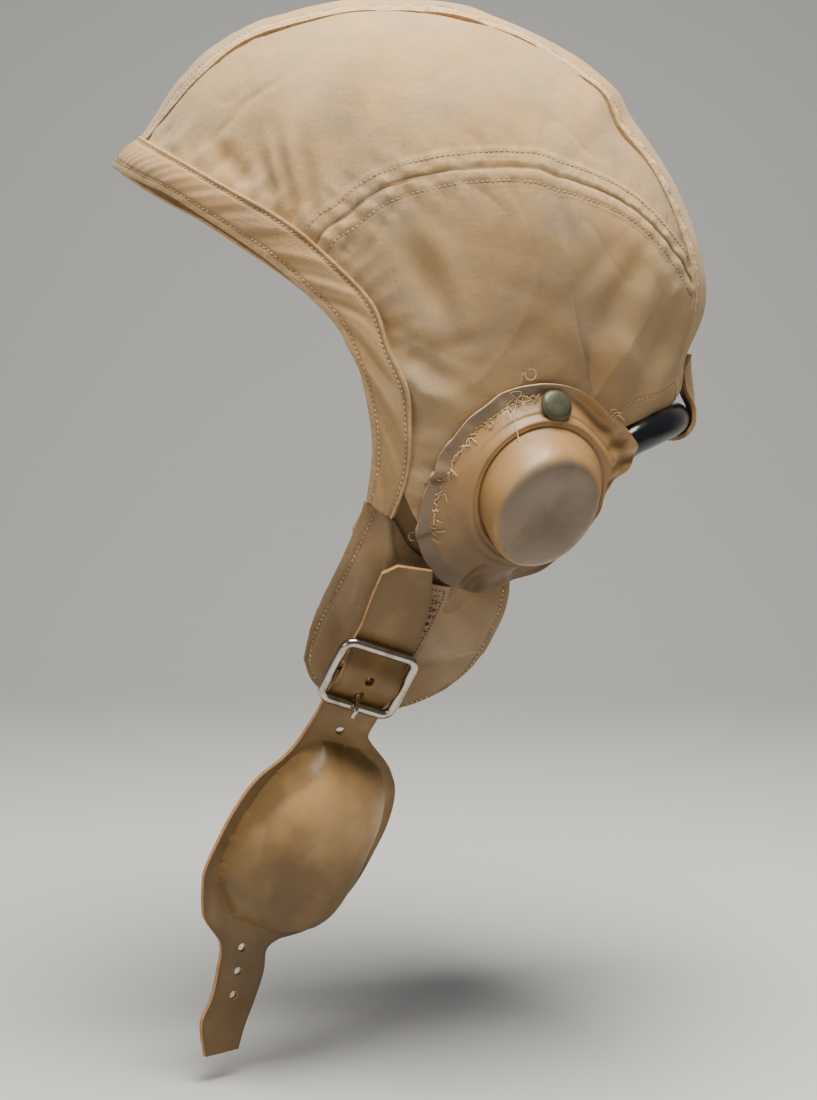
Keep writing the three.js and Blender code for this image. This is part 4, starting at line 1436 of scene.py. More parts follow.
@dataclass(frozen=True)
class ThreadFinish:
    """Twisted thread.

    Attributes:
        name: The material's name.
        light: The thread's colour.
        deep: The colour of its soiled part.
    """

    name: str
    light: Triple
    deep: Triple

    def material(self) -> bpy.types.Material:
        """Makes the material.

        Returns:
            The material.
        """
        material, nodes, shader = new_material(self.name)
        place = nodes.place()
        soiled = nodes.band(nodes.noise(place, 120.0, 3.0, 0.6), 0.42, 0.62)
        nodes.join(nodes.mix(soiled, self.light, self.deep), shader.inputs["Base Color"])
        shader.inputs["Roughness"].default_value = 0.85
        nodes.join(nodes.relief(nodes.noise(place, 2600.0, 2.0), 0.05), shader.inputs["Normal"])
        return material


# The last colour of each twill is its soiling colour, which also paints shade.
TWILL = TwillFinish(
    "twill", (0.5, 0.33, 0.165), (0.39, 0.25, 0.12), (0.33, 0.25, 0.165), (0.46, 0.27, 0.105),
    (0.15, 0.085, 0.036)).material()
BAND_TWILL = TwillFinish(
    "band_twill", (0.47, 0.3, 0.145), (0.38, 0.235, 0.105), (0.37, 0.26, 0.155),
    (0.45, 0.26, 0.1), (0.16, 0.08, 0.03)).material()
FLAP_TWILL = TwillFinish(
    "flap_twill", (0.42, 0.29, 0.17), (0.32, 0.215, 0.115), (0.32, 0.245, 0.17),
    (0.38, 0.225, 0.09), (0.11, 0.06, 0.025)).material()
TAB_FINISH = LeatherFinish(
    "tab_leather", (0.27, 0.17, 0.09), (0.2, 0.14, 0.085), (0.11, 0.065, 0.035),
    0.6, 0.14).material()
# The cup's stain colour also paints shade on its lower part and at the dome's foot.
CUP_LEATHER_FINISH = LeatherFinish(
    "cup_leather", (0.335, 0.19, 0.075), (0.2, 0.145, 0.098), (0.075, 0.043, 0.02),
    0.38, 0.05).material()
# The strap's grey colour is a painted highlight, and its stain colour also paints shade toward the
# lower end.
STRAP_FINISH = LeatherFinish(
    "strap_leather", (0.165, 0.095, 0.032), (0.5, 0.3, 0.115), (0.07, 0.041, 0.018),
    0.44, 0.04).material()
RAW_EDGE = RawLeatherFinish("raw_leather_edge", (0.55, 0.3, 0.13), (0.36, 0.17, 0.06)).material()
CUP_EDGE = RawLeatherFinish("cup_edge", (0.62, 0.45, 0.27), (0.42, 0.27, 0.14)).material()
THREAD = ThreadFinish("thread", (0.58, 0.42, 0.24), (0.36, 0.22, 0.1)).material()
DARK_THREAD = ThreadFinish("dark_thread", (0.1, 0.06, 0.03), (0.05, 0.03, 0.015)).material()
PALE_THREAD = ThreadFinish("pale_thread", (0.68, 0.52, 0.33), (0.34, 0.23, 0.12)).material()
NICKEL = HardFinish("nickel", (0.46, 0.42, 0.36), (0.26, 0.2, 0.14), 1.0, 0.17, 0.003).material()
ENAMEL = HardFinish(
    "snap_enamel", (0.075, 0.072, 0.042), (0.05, 0.045, 0.03), 0.3, 0.4, 0.01).material()
RUBBER = HardFinish(
    "rubber", (0.006, 0.007, 0.009), (0.01, 0.011, 0.014), 0.0, 0.16, 0.0).material()


def finish_piece(piece: Piece, slot: str, *materials: bpy.types.Material,
                 stands_for: Sequence[str] = ()) -> Piece:
    """Gives a piece its materials and its body, and hides the solids that it replaces.

    Args:
        piece: The piece.
        slot: A material slot's name; not used.
        materials: Its materials, in the order of its slots.
        stands_for: The solids that it replaces.

    Returns:
        The piece.
    """
    for material in materials:
        piece.data.materials.append(material)
    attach(piece, BODY)
    if stands_for:
        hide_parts(*stands_for)
    return piece


# The cap


def patch(top: Line, bottom: Line,
          left: Line, right: Line, grip: int = 1) -> Placer:
    """Disc points inside four border lines.

    Args:
        top: The border at the second share 0.
        bottom: The border at the second share 1.
        left: The border at the first share 0.
        right: The border at the first share 1.
        grip: How fast the bend of the border right fades inward.

    Returns:
        A function of both shares.
    """
    none, full = np.zeros(1), np.ones(1)
    corners = top(none), top(full), bottom(none), bottom(full)

    def place(u: Array, v: Array) -> Array:
        """Blends the four borders.

        Args:
            u: Shares of the first direction.
            v: Shares of the second direction.

        Returns:
            The disc points.
        """
        a, b = u[:, None], v[:, None]
        left_bend = left(v) - (1 - b) * corners[0] - b * corners[2]
        right_bend = right(v) - (1 - b) * corners[1] - b * corners[3]
        return (1 - b) * top(u) + b * bottom(u) + (1 - a) * left_bend + a**grip * right_bend

    return place


class Seams:
    """The seams and edges of the cap's left half, and where they meet."""

    tuck = 3.0
    band_tuck = 0.22
    arc_tip = 4.0
    arc_pace = Curve.through((0, 0.25, 0.6, 1), (0, 0.25, 0.47, 1))

    def __init__(self) -> None:
        """Finds where the seams meet."""
        self.band = disc_path(BAND_SEAM)
        self.edge = disc_path(BAND_EDGE)
        self.arc = disc_path(ARC_SEAM)
        self.hem = disc_path(HEM)
        self.band_at_strip = self._meets_strip(self.band, 0.3, 1.0)
        self.band_at_arc = self._nearest(FORM.discs(ARC_SEAM[:1])[0])
        self.band_at_hem = self._nearest(FORM.discs(HEM[-1:])[0])
        self.front = heading_of(self.band.share(self.band_at_strip)[0])
        self.arc_heading = heading_of(FORM.discs(ARC_SEAM[-1:])[0])
        self.hem_heading = heading_of(FORM.discs(HEM[:1])[0])
        self.brow_heading = heading_of(FORM.discs(BAND_SEAM[-1:])[0])
        self.arc_line = Path(FORM.points(self.arc_run(np.linspace(0, 1, 500))))
        self.band_line = Path(FORM.points(self.band.share(np.linspace(0, 1, 700))))
        self.hem_line = Path(FORM.points(self.hem.share(np.linspace(0, 1, 500))))

    def _meets_strip(self, path: Path, inside: float, outside: float) -> float:
        """The share of a seam where it runs under the strip.

        Args:
            path: The seam.
            inside: A share where it is clear of the strip.
            outside: A share where it is under the strip.

        Returns:
            The share between them.
        """
        for _ in range(40):
            middle = (inside + outside) / 2
            disc = path.share(middle)[0]
            if np.linalg.norm(disc) > np.linalg.norm(strip_edge(heading_of(disc))[0]):
                outside = middle
            else:
                inside = middle
        return inside

    def _nearest(self, target: Array) -> float:
        """The share of the band's seam nearest to a disc point."""
        shares = np.linspace(0, 1, 401)
        gaps = np.linalg.norm(self.band.share(shares) - target, axis=1)
        return float(shares[gaps.argmin()])

    def _ending(self, run: Line, start: Array, end: Array) -> Line:
        """A line drawn onto exact end points."""
        first = start - run(np.zeros(1))[0]
        last = end - run(np.ones(1))[0]
        return lambda s: run(s) + first * (1 - s[:, None]) ** 3 + last * s[:, None] ** 3

    def arc_run(self, share: Array) -> Array:
        """The arc seam from the band to the strip."""
        start = self.band.share(self.band_at_arc)[0]
        return self._ending(self.arc.share, start, strip_edge(self.arc_heading)[0])(share)

    def hem_run(self, share: Array) -> Array:
        """The lower hem from the band to the strip."""
        start = self.band.share(self.band_at_hem)[0]
        end = strip_edge(self.hem_heading)[0]
        return self._ending(lambda s: self.hem.share(1 - s), start, end)(share)

    def under_band(self, start: float, end: float) -> Line:
        """A panel's border a little way under the brow band.

        Args:
            start: The border's first share of the band's seam.
            end: Its last share.

        Returns:
            The border.
        """
        def run(v: Array) -> Array:
            """The border at shares of its length."""
            share = start + (end - start) * v
            seam, edge = self.band.share(share), self.edge.share(share)
            return seam + (edge - seam) * self.band_tuck
        return run

    def crown(self) -> Placer:
        """Disc points of the crown panel.

        Returns:
            A function of both shares.
        """
        tip = self.arc_heading + self.arc_tip
        return patch(
            lambda u: strip_edge(self.front + (tip - self.front) * u, self.tuck),
            self.arc_run,
            self.under_band(self.band_at_strip, self.band_at_arc),
            lambda v: strip_edge(self.arc_heading + self.arc_tip * (1 - v), self.tuck),
        )

    def side(self) -> Placer:
        """Disc points of the side panel.

        Returns:
            A function of both shares.
        """
        turn = self.hem_heading - self.arc_heading
        return patch(
            lambda u: self.arc_run(self.arc_pace(u)),
            self.hem_run,
            self.under_band(self.band_at_arc, self.band_at_hem),
            lambda v: strip_edge(self.arc_heading + turn * v, self.tuck),
            grip=2,
        )


SEAMS = Seams()


def raised(points: Array, rise: Array) -> Array:
    """Points lifted off the head's form."""
    return points + FORM.normals(points) * rise[:, None]


@dataclass(frozen=True)
class Cap:
    """The cloth cap: strip, panels, band and flaps.

    Attributes:
        panel_columns: Steps along the panels.
        strip_lift: How far the strip lies over the panels, in millimetres.
        plateau: Half width of the pressed-open arc seam.
        stitch_line: From the arc seam to its stitch rows.
        hem_stitch: From the lower hem to its stitch row.
        nape_heading: Where the strip ends on the middle line, in degrees.
    """

    panel_columns: int = 210
    strip_lift: float = 0.45
    plateau: float = 7.0
    stitch_line: float = 5.4
    hem_stitch: float = 5.2
    nape_heading: float = -23.5

    def build(self) -> list[Piece]:
        """Makes the cap's pieces.

        Returns:
            The pieces.
        """
        pieces = [self._strip(), self._band()]
        for side in Side:
            pieces.append(self._panel(
                f"crown_panel_{side.label}_cloth", SEAMS.crown(), 90, (232, 78), side))
            side_panel = self._panel(
                f"side_panel_{side.label}_cloth", SEAMS.side(), 120, (190, 104), side)
            self._open_ear(side_panel, side)
            pieces.append(side_panel)
            pieces.append(self._flap(side))
            pieces.append(self._facing(side))
        LOG.info("cap: %d pieces", len(pieces))
        return pieces

    def _relief(self, points: Array, folds: Sequence[Fold], seed: int) -> Array:
        """How far the panels' cloth stands off the form.

        Args:
            points: Points of the left half on the form.
            folds: The folds.
            seed: The unevenness' number.

        Returns:
            The rise of each point, in millimetres.
        """
        rise = fold_depth(points[:, 1], points[:, 2], folds) * smooth(0, 22, points[:, 0])
        rise += 0.55 * drift(points, 27, seed) + 0.16 * drift(points, 9, seed + 1)
        rise += 0.5 * wrinkles(points, 30, seed + 2) - 0.55 * wrinkles(points, 27, seed + 3)
        rise -= 0.3 * wrinkles(points, 15, seed + 4)
        gap, along = SEAMS.arc_line.measure(points)
        pucker = self._pucker(along, 10.5, seed)
        rise += 0.5 * (1 - smooth(self.plateau - 1.2, self.plateau + 0.6, gap))
        rise -= 0.75 * bump(gap, 0.8) + 0.4 * bump(gap - self.stitch_line, 0.8)
        rise += 0.55 * pucker * bump(gap - 2.7, 2.2) - 0.3 * pucker * bump(gap - 10, 3)
        gap, along = SEAMS.band_line.measure(points)
        rise += 0.7 * self._pucker(along, 14, seed + 5) * bump(gap - 5, 6) - 0.6 * bump(gap, 2.2)
        gap, along = SEAMS.hem_line.measure(points)
        rise += 0.35 * (1 - smooth(6.0, 7.2, gap)) - 0.4 * bump(gap - self.hem_stitch, 0.8)
        return rise

    def _pucker(self, along: Array, pitch: float, seed: int) -> Array:
        """Uneven puckers along a seam, from -1 to 1.

        Args:
            along: Distances along the seam.
            pitch: The usual distance between two puckers.
            seed: The pattern's number.

        Returns:
            The pucker at each distance.
        """
        rng = np.random.default_rng(seed)
        a, b, c = rng.uniform(0, TWIST, 3)
        turn = along * TWIST / pitch + 1.9 * np.sin(along / (pitch * 1.7) + a)
        strength = 0.6 + 0.4 * np.sin(along / (pitch * 2.3) + b)
        return np.sin(turn) * strength + 0.25 * np.sin(2.3 * turn + c)

    def surface(self, points: Array, side: Side) -> Array:
        """The panels' outer face over points of the left half, not yet mirrored."""
        folds = FOLDS + FINE_FOLDS + worn_creases(11 if side is Side.LEFT else 23)
        return raised(points, self._relief(points, folds, 31 if side is Side.LEFT else 47) - 0.25)

    def _panel(self, name: str, disc: Placer, rows: int, flat: tuple[float, float],
               side: Side) -> Piece:
        """Makes a crown or side panel.

        Args:
            name: Its name.
            disc: Gives its disc points.
            rows: Steps down it.
            flat: Length and width of its pattern.
            side: The side of the head.

        Returns:
            The panel.
        """
        def place(u: Array, v: Array) -> Array:
            """Points of the panel's outer face."""
            return self.surface(FORM.points(disc(u, v)), side)

        marks = {"wear": self._panel_wear(disc), "soil": self._panel_soil(disc)}
        sheet = Sheet(name, self.panel_columns, rows, mirror_placer(place, side), CLOTH, flat,
                      outward_of_form, marks)
        return sheet.build()

    def _panel_wear(self, disc: Placer) -> Placer:
        """Where a panel's cloth is rubbed pale: on the arc seam's ridges.

        Args:
            disc: Gives its disc points.

        Returns:
            The mark.
        """
        def wear(u: Array, v: Array) -> Array:
            """The mark."""
            gap, _ = SEAMS.arc_line.measure(FORM.points(disc(u, v)))
            return 0.55 * bump(gap - 2.2, 1.2) + 0.35 * bump(gap - self.plateau, 1.0)
        return wear

    def _panel_soil(self, disc: Placer) -> Placer:
        """Where a panel's cloth is darker: soiled seams, painted shade over the middle and back of
        the side panel, and uneven darkening towards the bottom.

        Args:
            disc: Gives its disc points.

        Returns:
            The mark.
        """
        def soil(u: Array, v: Array) -> Array:
            """How dark the cloth is: soiling and painted shade.

            Args:
                u: Shares of the first direction.
                v: Shares of the second direction.

            Returns:
                The soiling and painted shade.
            """
            points = FORM.points(disc(u, v))
            gap, _ = SEAMS.arc_line.measure(points)
            dirt_and_shade = 0.75 * bump(gap, 0.6) + 0.5 * bump(gap - self.stitch_line, 0.5)
            # Uneven darkening towards the bottom.
            dirt_and_shade += smooth(-70, -150, points[:, 2]) * (0.06 + 0.08 * drift(points, 30, 5))
            # Painted shade over the middle and back of the side panel.
            shade = smooth(12, 42, points[:, 1]) * smooth(-78, -96, points[:, 2])
            shade *= 1 - smooth(-132, -152, points[:, 2])
            dirt_and_shade += 0.2 * shade * (1 + 0.5 * drift(points, 26, 6))
            return np.clip(dirt_and_shade, 0, 0.8)
        return soil

    def _open_ear(self, piece: Piece, side: Side) -> None:
        """Opens the hole under the ear cup in a side panel.

        Args:
            piece: The panel.
            side: The side of the head.
        """
        flip = side.flip
        bm = bmesh.new()
        bm.from_mesh(piece.data)

        def spot(place: Vector) -> tuple[float, float]:
            """How far back and up of the ear's axis a place lies."""
            return EAR.flat(np.array(place) / MM * flip)

        inner = [f for f in bm.faces if math.hypot(*spot(f.calc_center_median())) < EAR.hole]
        bmesh.ops.delete(bm, geom=inner, context="FACES")
        for vertex in bm.verts:
            if not vertex.is_boundary:
                continue
            right, up = spot(vertex.co)
            reach = math.hypot(right, up)
            if reach > EAR.hole + 4:
                continue
            shift = (EAR.hole - reach) / reach
            move = EAR.back * right * shift + EAR.up * up * shift
            vertex.co += Vector(move * flip * MM)
        bm.to_mesh(piece.data)
        bm.free()

    def strip_face(self, u: Array, v: Array) -> tuple[Array, Array]:
        """Points of the crown strip on the form, and how far they lie from its edge.

        Args:
            u: Shares from the brow to the nape.
            v: Shares from the right edge to the left edge.

        Returns:
            The points of the left half and the distances, in millimetres.
        """
        across = 2 * v - 1
        front = SEAMS.brow_heading + (SEAMS.front - SEAMS.brow_heading) * across**2
        back = self.nape_heading + (SEAMS.hem_heading - self.nape_heading) * across**2
        degrees = front + (back - front) * u
        half = STRIP_HALF(degrees)
        bend = np.arccos(half * np.abs(across) / FORM.half_width) / (math.pi / 2)
        turn = np.radians(degrees)
        disc = np.stack([bend * np.cos(turn), bend * np.sin(turn)], axis=-1)
        return FORM.points(disc), half * (1 - np.abs(across))

    def strip_point(self, u: Array, v: Array) -> Array:
        """Points of the crown strip's outer face.

        Args:
            u: Shares from the brow to the nape.
            v: Shares from right to left.

        Returns:
            The points.
        """
        points, gap = self.strip_face(u, v)
        folds = FOLDS + FINE_FOLDS[:8] + worn_creases(7)
        rise = fold_depth(points[:, 1], points[:, 2], folds) * smooth(0, 22, points[:, 0])
        rise += 0.35 * drift(points, 24, 61) + 0.12 * drift(points, 8, 62)
        rise += 0.5 * wrinkles(points, 26, 63) - 0.5 * wrinkles(points, 24, 64)
        pucker = self._pucker(u * 400, 11, 65)
        rise += self.strip_lift - 0.4 * bump(gap - 1.9, 0.7) - 0.35 * bump(gap - 6.6, 0.8)
        rise += 0.4 * pucker * bump(gap - 4.3, 2.2) + 0.2 * bump(gap - 0.6, 0.6)
        points = raised(points, rise)
        points[:, 0] *= np.where(v < 0.5, -1, 1)
        return points

    def _strip(self) -> Piece:
        """Makes the crown strip.

        Returns:
            The strip.
        """
        def wear(u: Array, v: Array) -> Array:
            """Where the strip is rubbed pale."""
            gap = self.strip_face(u, v)[1]
            return 0.8 * bump(gap - 0.6, 1.0) + 0.75 * bump(gap - 4.2, 2.2)

        def soil(u: Array, v: Array) -> Array:
            """How dirty the strip is.

            Args:
                u: Shares of the first direction.
                v: Shares of the second direction.

            Returns:
                The dirt.
            """
            points, gap = self.strip_face(u, v)
            stain = bump(np.hypot(points[:, 1] + 79, points[:, 2] + 30), 8) * 0.5
            stain *= smooth(0.15, 0.7, 0.5 + drift(points, 7, 66))
            return np.clip(0.4 * bump(gap - 1.9, 0.5) + 0.35 * bump(gap - 6.6, 0.6) + stain, 0, 0.8)

        sheet = Sheet("centre_strip_cloth", 380, 80, self.strip_point, CLOTH, (400, 68),
                      outward_of_form, {"wear": wear, "soil": soil})
        return sheet.build()

    def band_point(self, u: Array, v: Array) -> Array:
        """Points of the brow band's outer face, from the left end to the right end.

        Args:
            u: Shares of the first direction.
            v: Shares of the second direction.

        Returns:
            The points.
        """
        share = 1 - np.abs(2 * u - 1)
        edge, seam = SEAMS.edge.share(share), SEAMS.band.share(share)
        points = FORM.points(edge + (seam - edge) * v[:, None])
        rise = 0.6 + 0.75 * np.sin(math.pi * np.clip(v, 0, 1))
        rise += 0.42 * self.band_dents(u, v) * np.sin(math.pi * np.clip(v, 0, 1))
        rise += 0.4 * bump(v - 0.965, 0.035)
        rise -= 0.45 * bump(v - 0.87, 0.045) + 0.4 * bump(v - 0.2, 0.05)
        rise += 0.15 * drift(points, 9, 71)
        points = raised(points, rise)
        points[:, 0] *= np.where(u < 0.5, 1, -1)
        return points

    def band_dents(self, u: Array, v: Array) -> Array:
        """The slanting dents of the band, from -1 to 1.

        Args:
            u: Shares of the first direction.
            v: Shares of the second direction.

        Returns:
            The dents.
        """
        share = 1 - np.abs(2 * u - 1)
        along = share * 200 + 16 * v
        seed = np.where(u < 0.5, 0.0, 40.0)
        return self._pucker(along + seed, 15, 72)

    def _band(self) -> Piece:
        """Makes the brow band.

        Returns:
            The band.
        """
        def wear(u: Array, v: Array) -> Array:
            """Where the band is rubbed pale."""
            return 0.6 * bump(v - 0.965, 0.04) + 0.4 * bump(v - 0.05, 0.08)

        def soil(u: Array, v: Array) -> Array:
            """How dark the band is: soiled stitch rows, and painted shade in the hollows of its
            dents.
            """
            dirt_and_shade = 0.65 * bump(v - 0.89, 0.03) + 0.35 * bump(v - 0.2, 0.035)
            # Painted shade in the hollows of the band's dents.
            return np.clip(dirt_and_shade - 0.15 * self.band_dents(u, v), 0, 0.7)

        sheet = Sheet("brow_band_cloth", 660, 30, self.band_point, BAND_CLOTH, (400, 15),
                      outward_of_form, {"wear": wear, "soil": soil})
        return sheet.build(rim=0.7)

    def flap_point(self, u: Array, v: Array) -> Array:
        """Points of the left cheek flap's outer face.

        Args:
            u: Shares of the first direction.
            v: Shares of the second direction.

        Returns:
            The points.
        """
        points = FORM.points(self.flap_disc(u, v))
        y, z = points[:, 1], points[:, 2]
        rise = fold_depth(y, z, FINE_FOLDS)
        rise += 0.5 * drift(points, 16, 81) + 0.16 * drift(points, 6, 82)
        rise += 0.6 * wrinkles(points, 14, 84) - 0.6 * wrinkles(points, 13, 85)
        step = smooth(-0.6, 1.0, y + 2.6 + (z + 192) * 0.06) * smooth(-222, -206, z)
        rise -= 2.0 * step
        rise -= 0.4 * bump(self.flap_rim(u, v) - 2.3, 0.7)
        return raised(points, rise)

    def flap_disc(self, u: Array, v: Array) -> Array:
        """Disc points of the cheek flap."""
        borders = [disc_path(rows) for rows in (FLAP_TOP, FLAP_BOTTOM, FLAP_FRONT, FLAP_BACK)]
        return patch(*(path.share for path in borders))(u, v)

    def flap_rim(self, u: Array, v: Array) -> Array:
        """About how far places of the flap lie from its free edges."""
        return np.minimum.reduce([u * 52, (1 - u) * 45, (1 - v) * 60])

    def _flap(self, side: Side) -> Piece:
        """Makes a cheek flap.

        Args:
            side: The side of the head.

        Returns:
            The flap.
        """
        def soil(u: Array, v: Array) -> Array:
            """How dark the flap is: uneven soiling, the soiled stitch row, and painted shade in the
            recess behind its fold.

            Args:
                u: Shares of the first direction.
                v: Shares of the second direction.

            Returns:
                The soiling and painted shade.
            """
            points = FORM.points(self.flap_disc(u, v))
            # Painted shade in the recess behind the fold's step.
            shade = smooth(-4, 2, points[:, 1]) * smooth(-222, -204, points[:, 2])
            return np.clip(0.2 + 0.25 * drift(points, 14, 83) + 0.4 * shade
                           + 0.3 * bump(self.flap_rim(u, v) - 2.3, 0.5), 0, 0.85)

        sheet = Sheet(f"cheek_flap_{side.label}_cloth", 90, 100,
                      mirror_placer(self.flap_point, side), FLAP_CLOTH, (60, 80), outward_of_form,
                      {"wear": plain(0), "soil": soil})
        return sheet.build()

    def _facing(self, side: Side) -> Piece:
        """Makes the cloth behind the gap between band, side panel and flap.

        Args:
            side: The side of the head.

        Returns:
            The facing.
        """
        corners = FORM.discs([SidePoint(-9, -176), SidePoint(20, -184), SidePoint(-9, -202),
                              SidePoint(20, -219)])

        def place(u: Array, v: Array) -> Array:
            """Points of the facing's outer face.

            Args:
                u: Shares of the first direction.
                v: Shares of the second direction.

            Returns:
                The points.
            """
            a, b = u[:, None], v[:, None]
            disc = ((1 - b) * ((1 - a) * corners[0] + a * corners[1])
                    + b * ((1 - a) * corners[2] + a * corners[3]))
            points = FORM.points(disc)
            return raised(points, -2.2 - 2.4 * smooth(0.0, 0.5, v) + 0.5 * drift(points, 9, 86))

        # The facing is darkened all over as painted shade in the gap behind band, side panel and
        # flap.
        sheet = Sheet(f"cheek_facing_{side.label}_cloth", 30, 34, mirror_placer(place, side), 1.0,
                      (29, 31), outward_of_form, {"wear": plain(0), "soil": plain(0.55)})
        return sheet.build(rim=0.2)

    def stitches(self) -> list[Piece]:
        """Sews the cap's rows of stitches.

        Returns:
            The stitches, as one piece.
        """
        rows = []
        for side in Side:
            flip = side.flip
            rows += [self._lifted(p, side, flip) for p in self._arc_rows()]
            for gap in (1.9, 6.6):
                u = np.linspace(0.012, 0.985, 500)
                half = STRIP_HALF(SEAMS.front + (SEAMS.hem_heading - SEAMS.front) * u)
                v = 0.5 + side.value * (0.5 - gap / half / 2)
                rows.append(self._with_normals(self.strip_point(u, v)))
            ends = (0.004, 0.498) if side is Side.LEFT else (0.502, 0.996)
            u = np.linspace(*ends, 600)
            rows += [self._with_normals(self.band_point(u, np.full(600, v))) for v in (0.87, 0.2)]
            rows.append(self._with_normals(self._flap_row() * flip))
        return [Stitching().sew("cap_stitches", rows)]

    def _arc_rows(self) -> list[Array]:
        """Points on the form along both sides of the arc seam and along the hem.

        Returns:
            The points of each row.
        """
        rows = []
        both_sides = (-self.stitch_line, self.stitch_line)
        for path, shifts in ((SEAMS.arc_line, both_sides), (SEAMS.hem_line, (-self.hem_stitch,))):
            along = np.linspace(1.5, path.length - 1.5, 400)
            points, way = path.at(along), path.tangent(along)
            sideways = np.cross(FORM.normals(points), way)
            for shift in shifts:
                near = points + sideways * shift
                rows.append(FORM.points(FORM.discs([SidePoint(p[1], p[2]) for p in near])))
        return rows

    def _lifted(self, points: Array, side: Side, flip: Array) -> tuple[Array, Array]:
        """Points on the panels' outer face and its directions."""
        return self._with_normals(self.surface(points, side) * flip)

    def _with_normals(self, points: Array) -> tuple[Array, Array]:
        """Points with the form's directions there, on either side."""
        flip = np.where(points[:, :1] < 0, -1, 1) * np.array([[1, 0, 0]]) + np.array([[0, 1, 1]])
        return points, FORM.normals(points * flip) * flip

    def _flap_row(self) -> Array:
        """The stitch row inside the flap's edges, on the left half.

        Returns:
            The points.
        """
        inset_u, inset_b, inset_v = 2.3 / 52, 1 - 2.3 / 45, 1 - 2.3 / 60
        corners = [(inset_u, 0.02), (inset_u, 0.3), (inset_u, 0.6), (inset_u + 0.01, 0.88),
                   (inset_u + 0.07, inset_v - 0.01), (0.3, inset_v), (0.6, inset_v),
                   (inset_b - 0.07, inset_v - 0.01), (inset_b, 0.86), (inset_b, 0.5),
                   (inset_b, 0.1)]
        u, v = spline_points(corners, 40, True).T
        return self.flap_point(u, v)


# The ear cups


class EarFrame:
    """The ear cup's own directions: back, up and out along its axis."""

    hole = 20.0

    def __init__(self) -> None:
        """Sets the axes at the ear."""
        self.centre = FORM.points(FORM.discs([SidePoint(45.6, -181.5)]))[0]
        self.axis = unit(np.array([[0.88, 0.38, -0.28]]))[0]
        self.back = unit(np.cross([0, 0, 1], self.axis)[None])[0]
        self.up = np.cross(self.axis, self.back)

    def flat(self, point: Array) -> tuple[float, float]:
        """How far back and up a point lies from the axis."""
        gap = point - self.centre
        return float(gap @ self.back), float(gap @ self.up)

    def head_height(self, right: Array, up: Array) -> Array:
        """Heights of the head's form over the plane at the ear.

        Args:
            right: Distances back.
            up: Distances up.

        Returns:
            The heights.
        """
        low, high = np.full(len(right), -45.0), np.full(len(right), 12.0)
        for _ in range(30):
            middle = (low + high) / 2
            inside = FORM.level(self.place(right, up, middle)) < 0
            low, high = np.where(inside, middle, low), np.where(inside, high, middle)
        return high

    def place(self, right: Array, up: Array, height: Array) -> Array:
        """Points at distances back, up and out."""
        return (self.centre + right[:, None] * self.back + up[:, None] * self.up
                + height[:, None] * self.axis)


EAR = EarFrame()
FLANGE_REACH = column_curve(FLANGE, "angle", "reach", 360)
FLANGE_DRAPE = column_curve(FLANGE, "angle", "drape", 360)
HAND_ROW = Curve.through(
    (93, 120, 149, 170, 191, 202, 212), (34.1, 31, 29.7, 30.4, 33.7, 35.8, 37.6))


class Crease(NamedTuple):
    """A pleat or crease of the ear cup's flange: angle, width in degrees, depth and start."""

    angle: float
    width: float
    depth: float
    start: float


CUP_CREASES = table(
    Crease,
    (5, 3.5, -1.2, 0.1), (10, 3, 1.2, 0.1), (15, 2.6, -1.0, 0.15), (21, 3, 1.3, 0.2),
    (28, 3, -1.2, 0.2), (35, 4, 0.7, 0.3), (88, 3, -0.5, 0.4), (112, 3, -0.5, 0.6),
    (140, 4, 0.4, 0.5), (155, 3, -0.6, 0.6), (171, 4, 1.0, 0.4), (176, 2, -1.3, 0.45),
    (183, 5, 0.6, 0.5), (206, 2.2, -1.1, 0.4), (211, 3.5, 0.7, 0.5), (226, 4, -0.6, 0.5),
    (242, 3, -2.0, 0.3), (250, 4, 1.0, 0.4), (268, 4, -0.8, 0.3), (320, 6, -0.6, 0.3),
)


def thread_ring(middle: Point, radius: float, start: float, end: float) -> list[Point]:
    """A thread curled in the side view.

    Args:
        middle: Its middle.
        radius: Its radius.
        start: The turn where it starts, in degrees.
        end: The turn where it ends.

    Returns:
        Its points.
    """
    turns = np.radians(np.linspace(start, end, 12))
    return [Point(middle.x + 0.3 * i / 12, middle.y + radius * math.cos(t),
                  middle.z + radius * math.sin(t)) for i, t in enumerate(turns)]


# Loose threads at the left ear cup
LOOSE_THREADS: tuple[Sequence[Point], ...] = (
    table(Point, (79.2, 41.6, -149.8), (80.5, 40.9, -154.2), (83.4, 41.2, -159.5),
          (84.6, 42.0, -163.4), (86.0, 42.8, -166.2)),
    table(Point, (79.0, 40.6, -149.6), (79.2, 38.2, -152.6), (82.0, 39.4, -156.6)),
    table(Point, (78.6, 41.4, -149.9), (78.9, 43.6, -148.9), (78.2, 47.0, -150.0)),
    table(Point, (78.6, 41.8, -150.2), (79.5, 44.2, -151.0), (80.0, 46.2, -150.4)),
    table(Point, (78.4, 41.0, -149.4), (78.8, 39.4, -147.9), (77.9, 43.2, -147.6),
          (78.6, 41.9, -150.4)),
    thread_ring(Point(75.8, 46.6, -141.4), 1.9, 150, 480),
    table(Point, (75.4, 45.2, -140.4), (75.2, 43.8, -141.6), (75.0, 43.3, -144.2),
          (74.6, 42.6, -145.6)),
    table(Point, (65.4, 75.6, -156.4), (66.2, 77.6, -154.6), (65.0, 79.4, -155.0)),
    table(Point, (65.0, 76.6, -157.2), (65.8, 78.0, -155.6), (64.8, 80.6, -157.4)),
    table(Point, (64.6, 75.2, -155.8), (66.0, 76.0, -153.8), (65.2, 77.8, -153.6)),
    thread_ring(Point(68.6, 5.4, -198.6), 1.5, 60, 300),
)


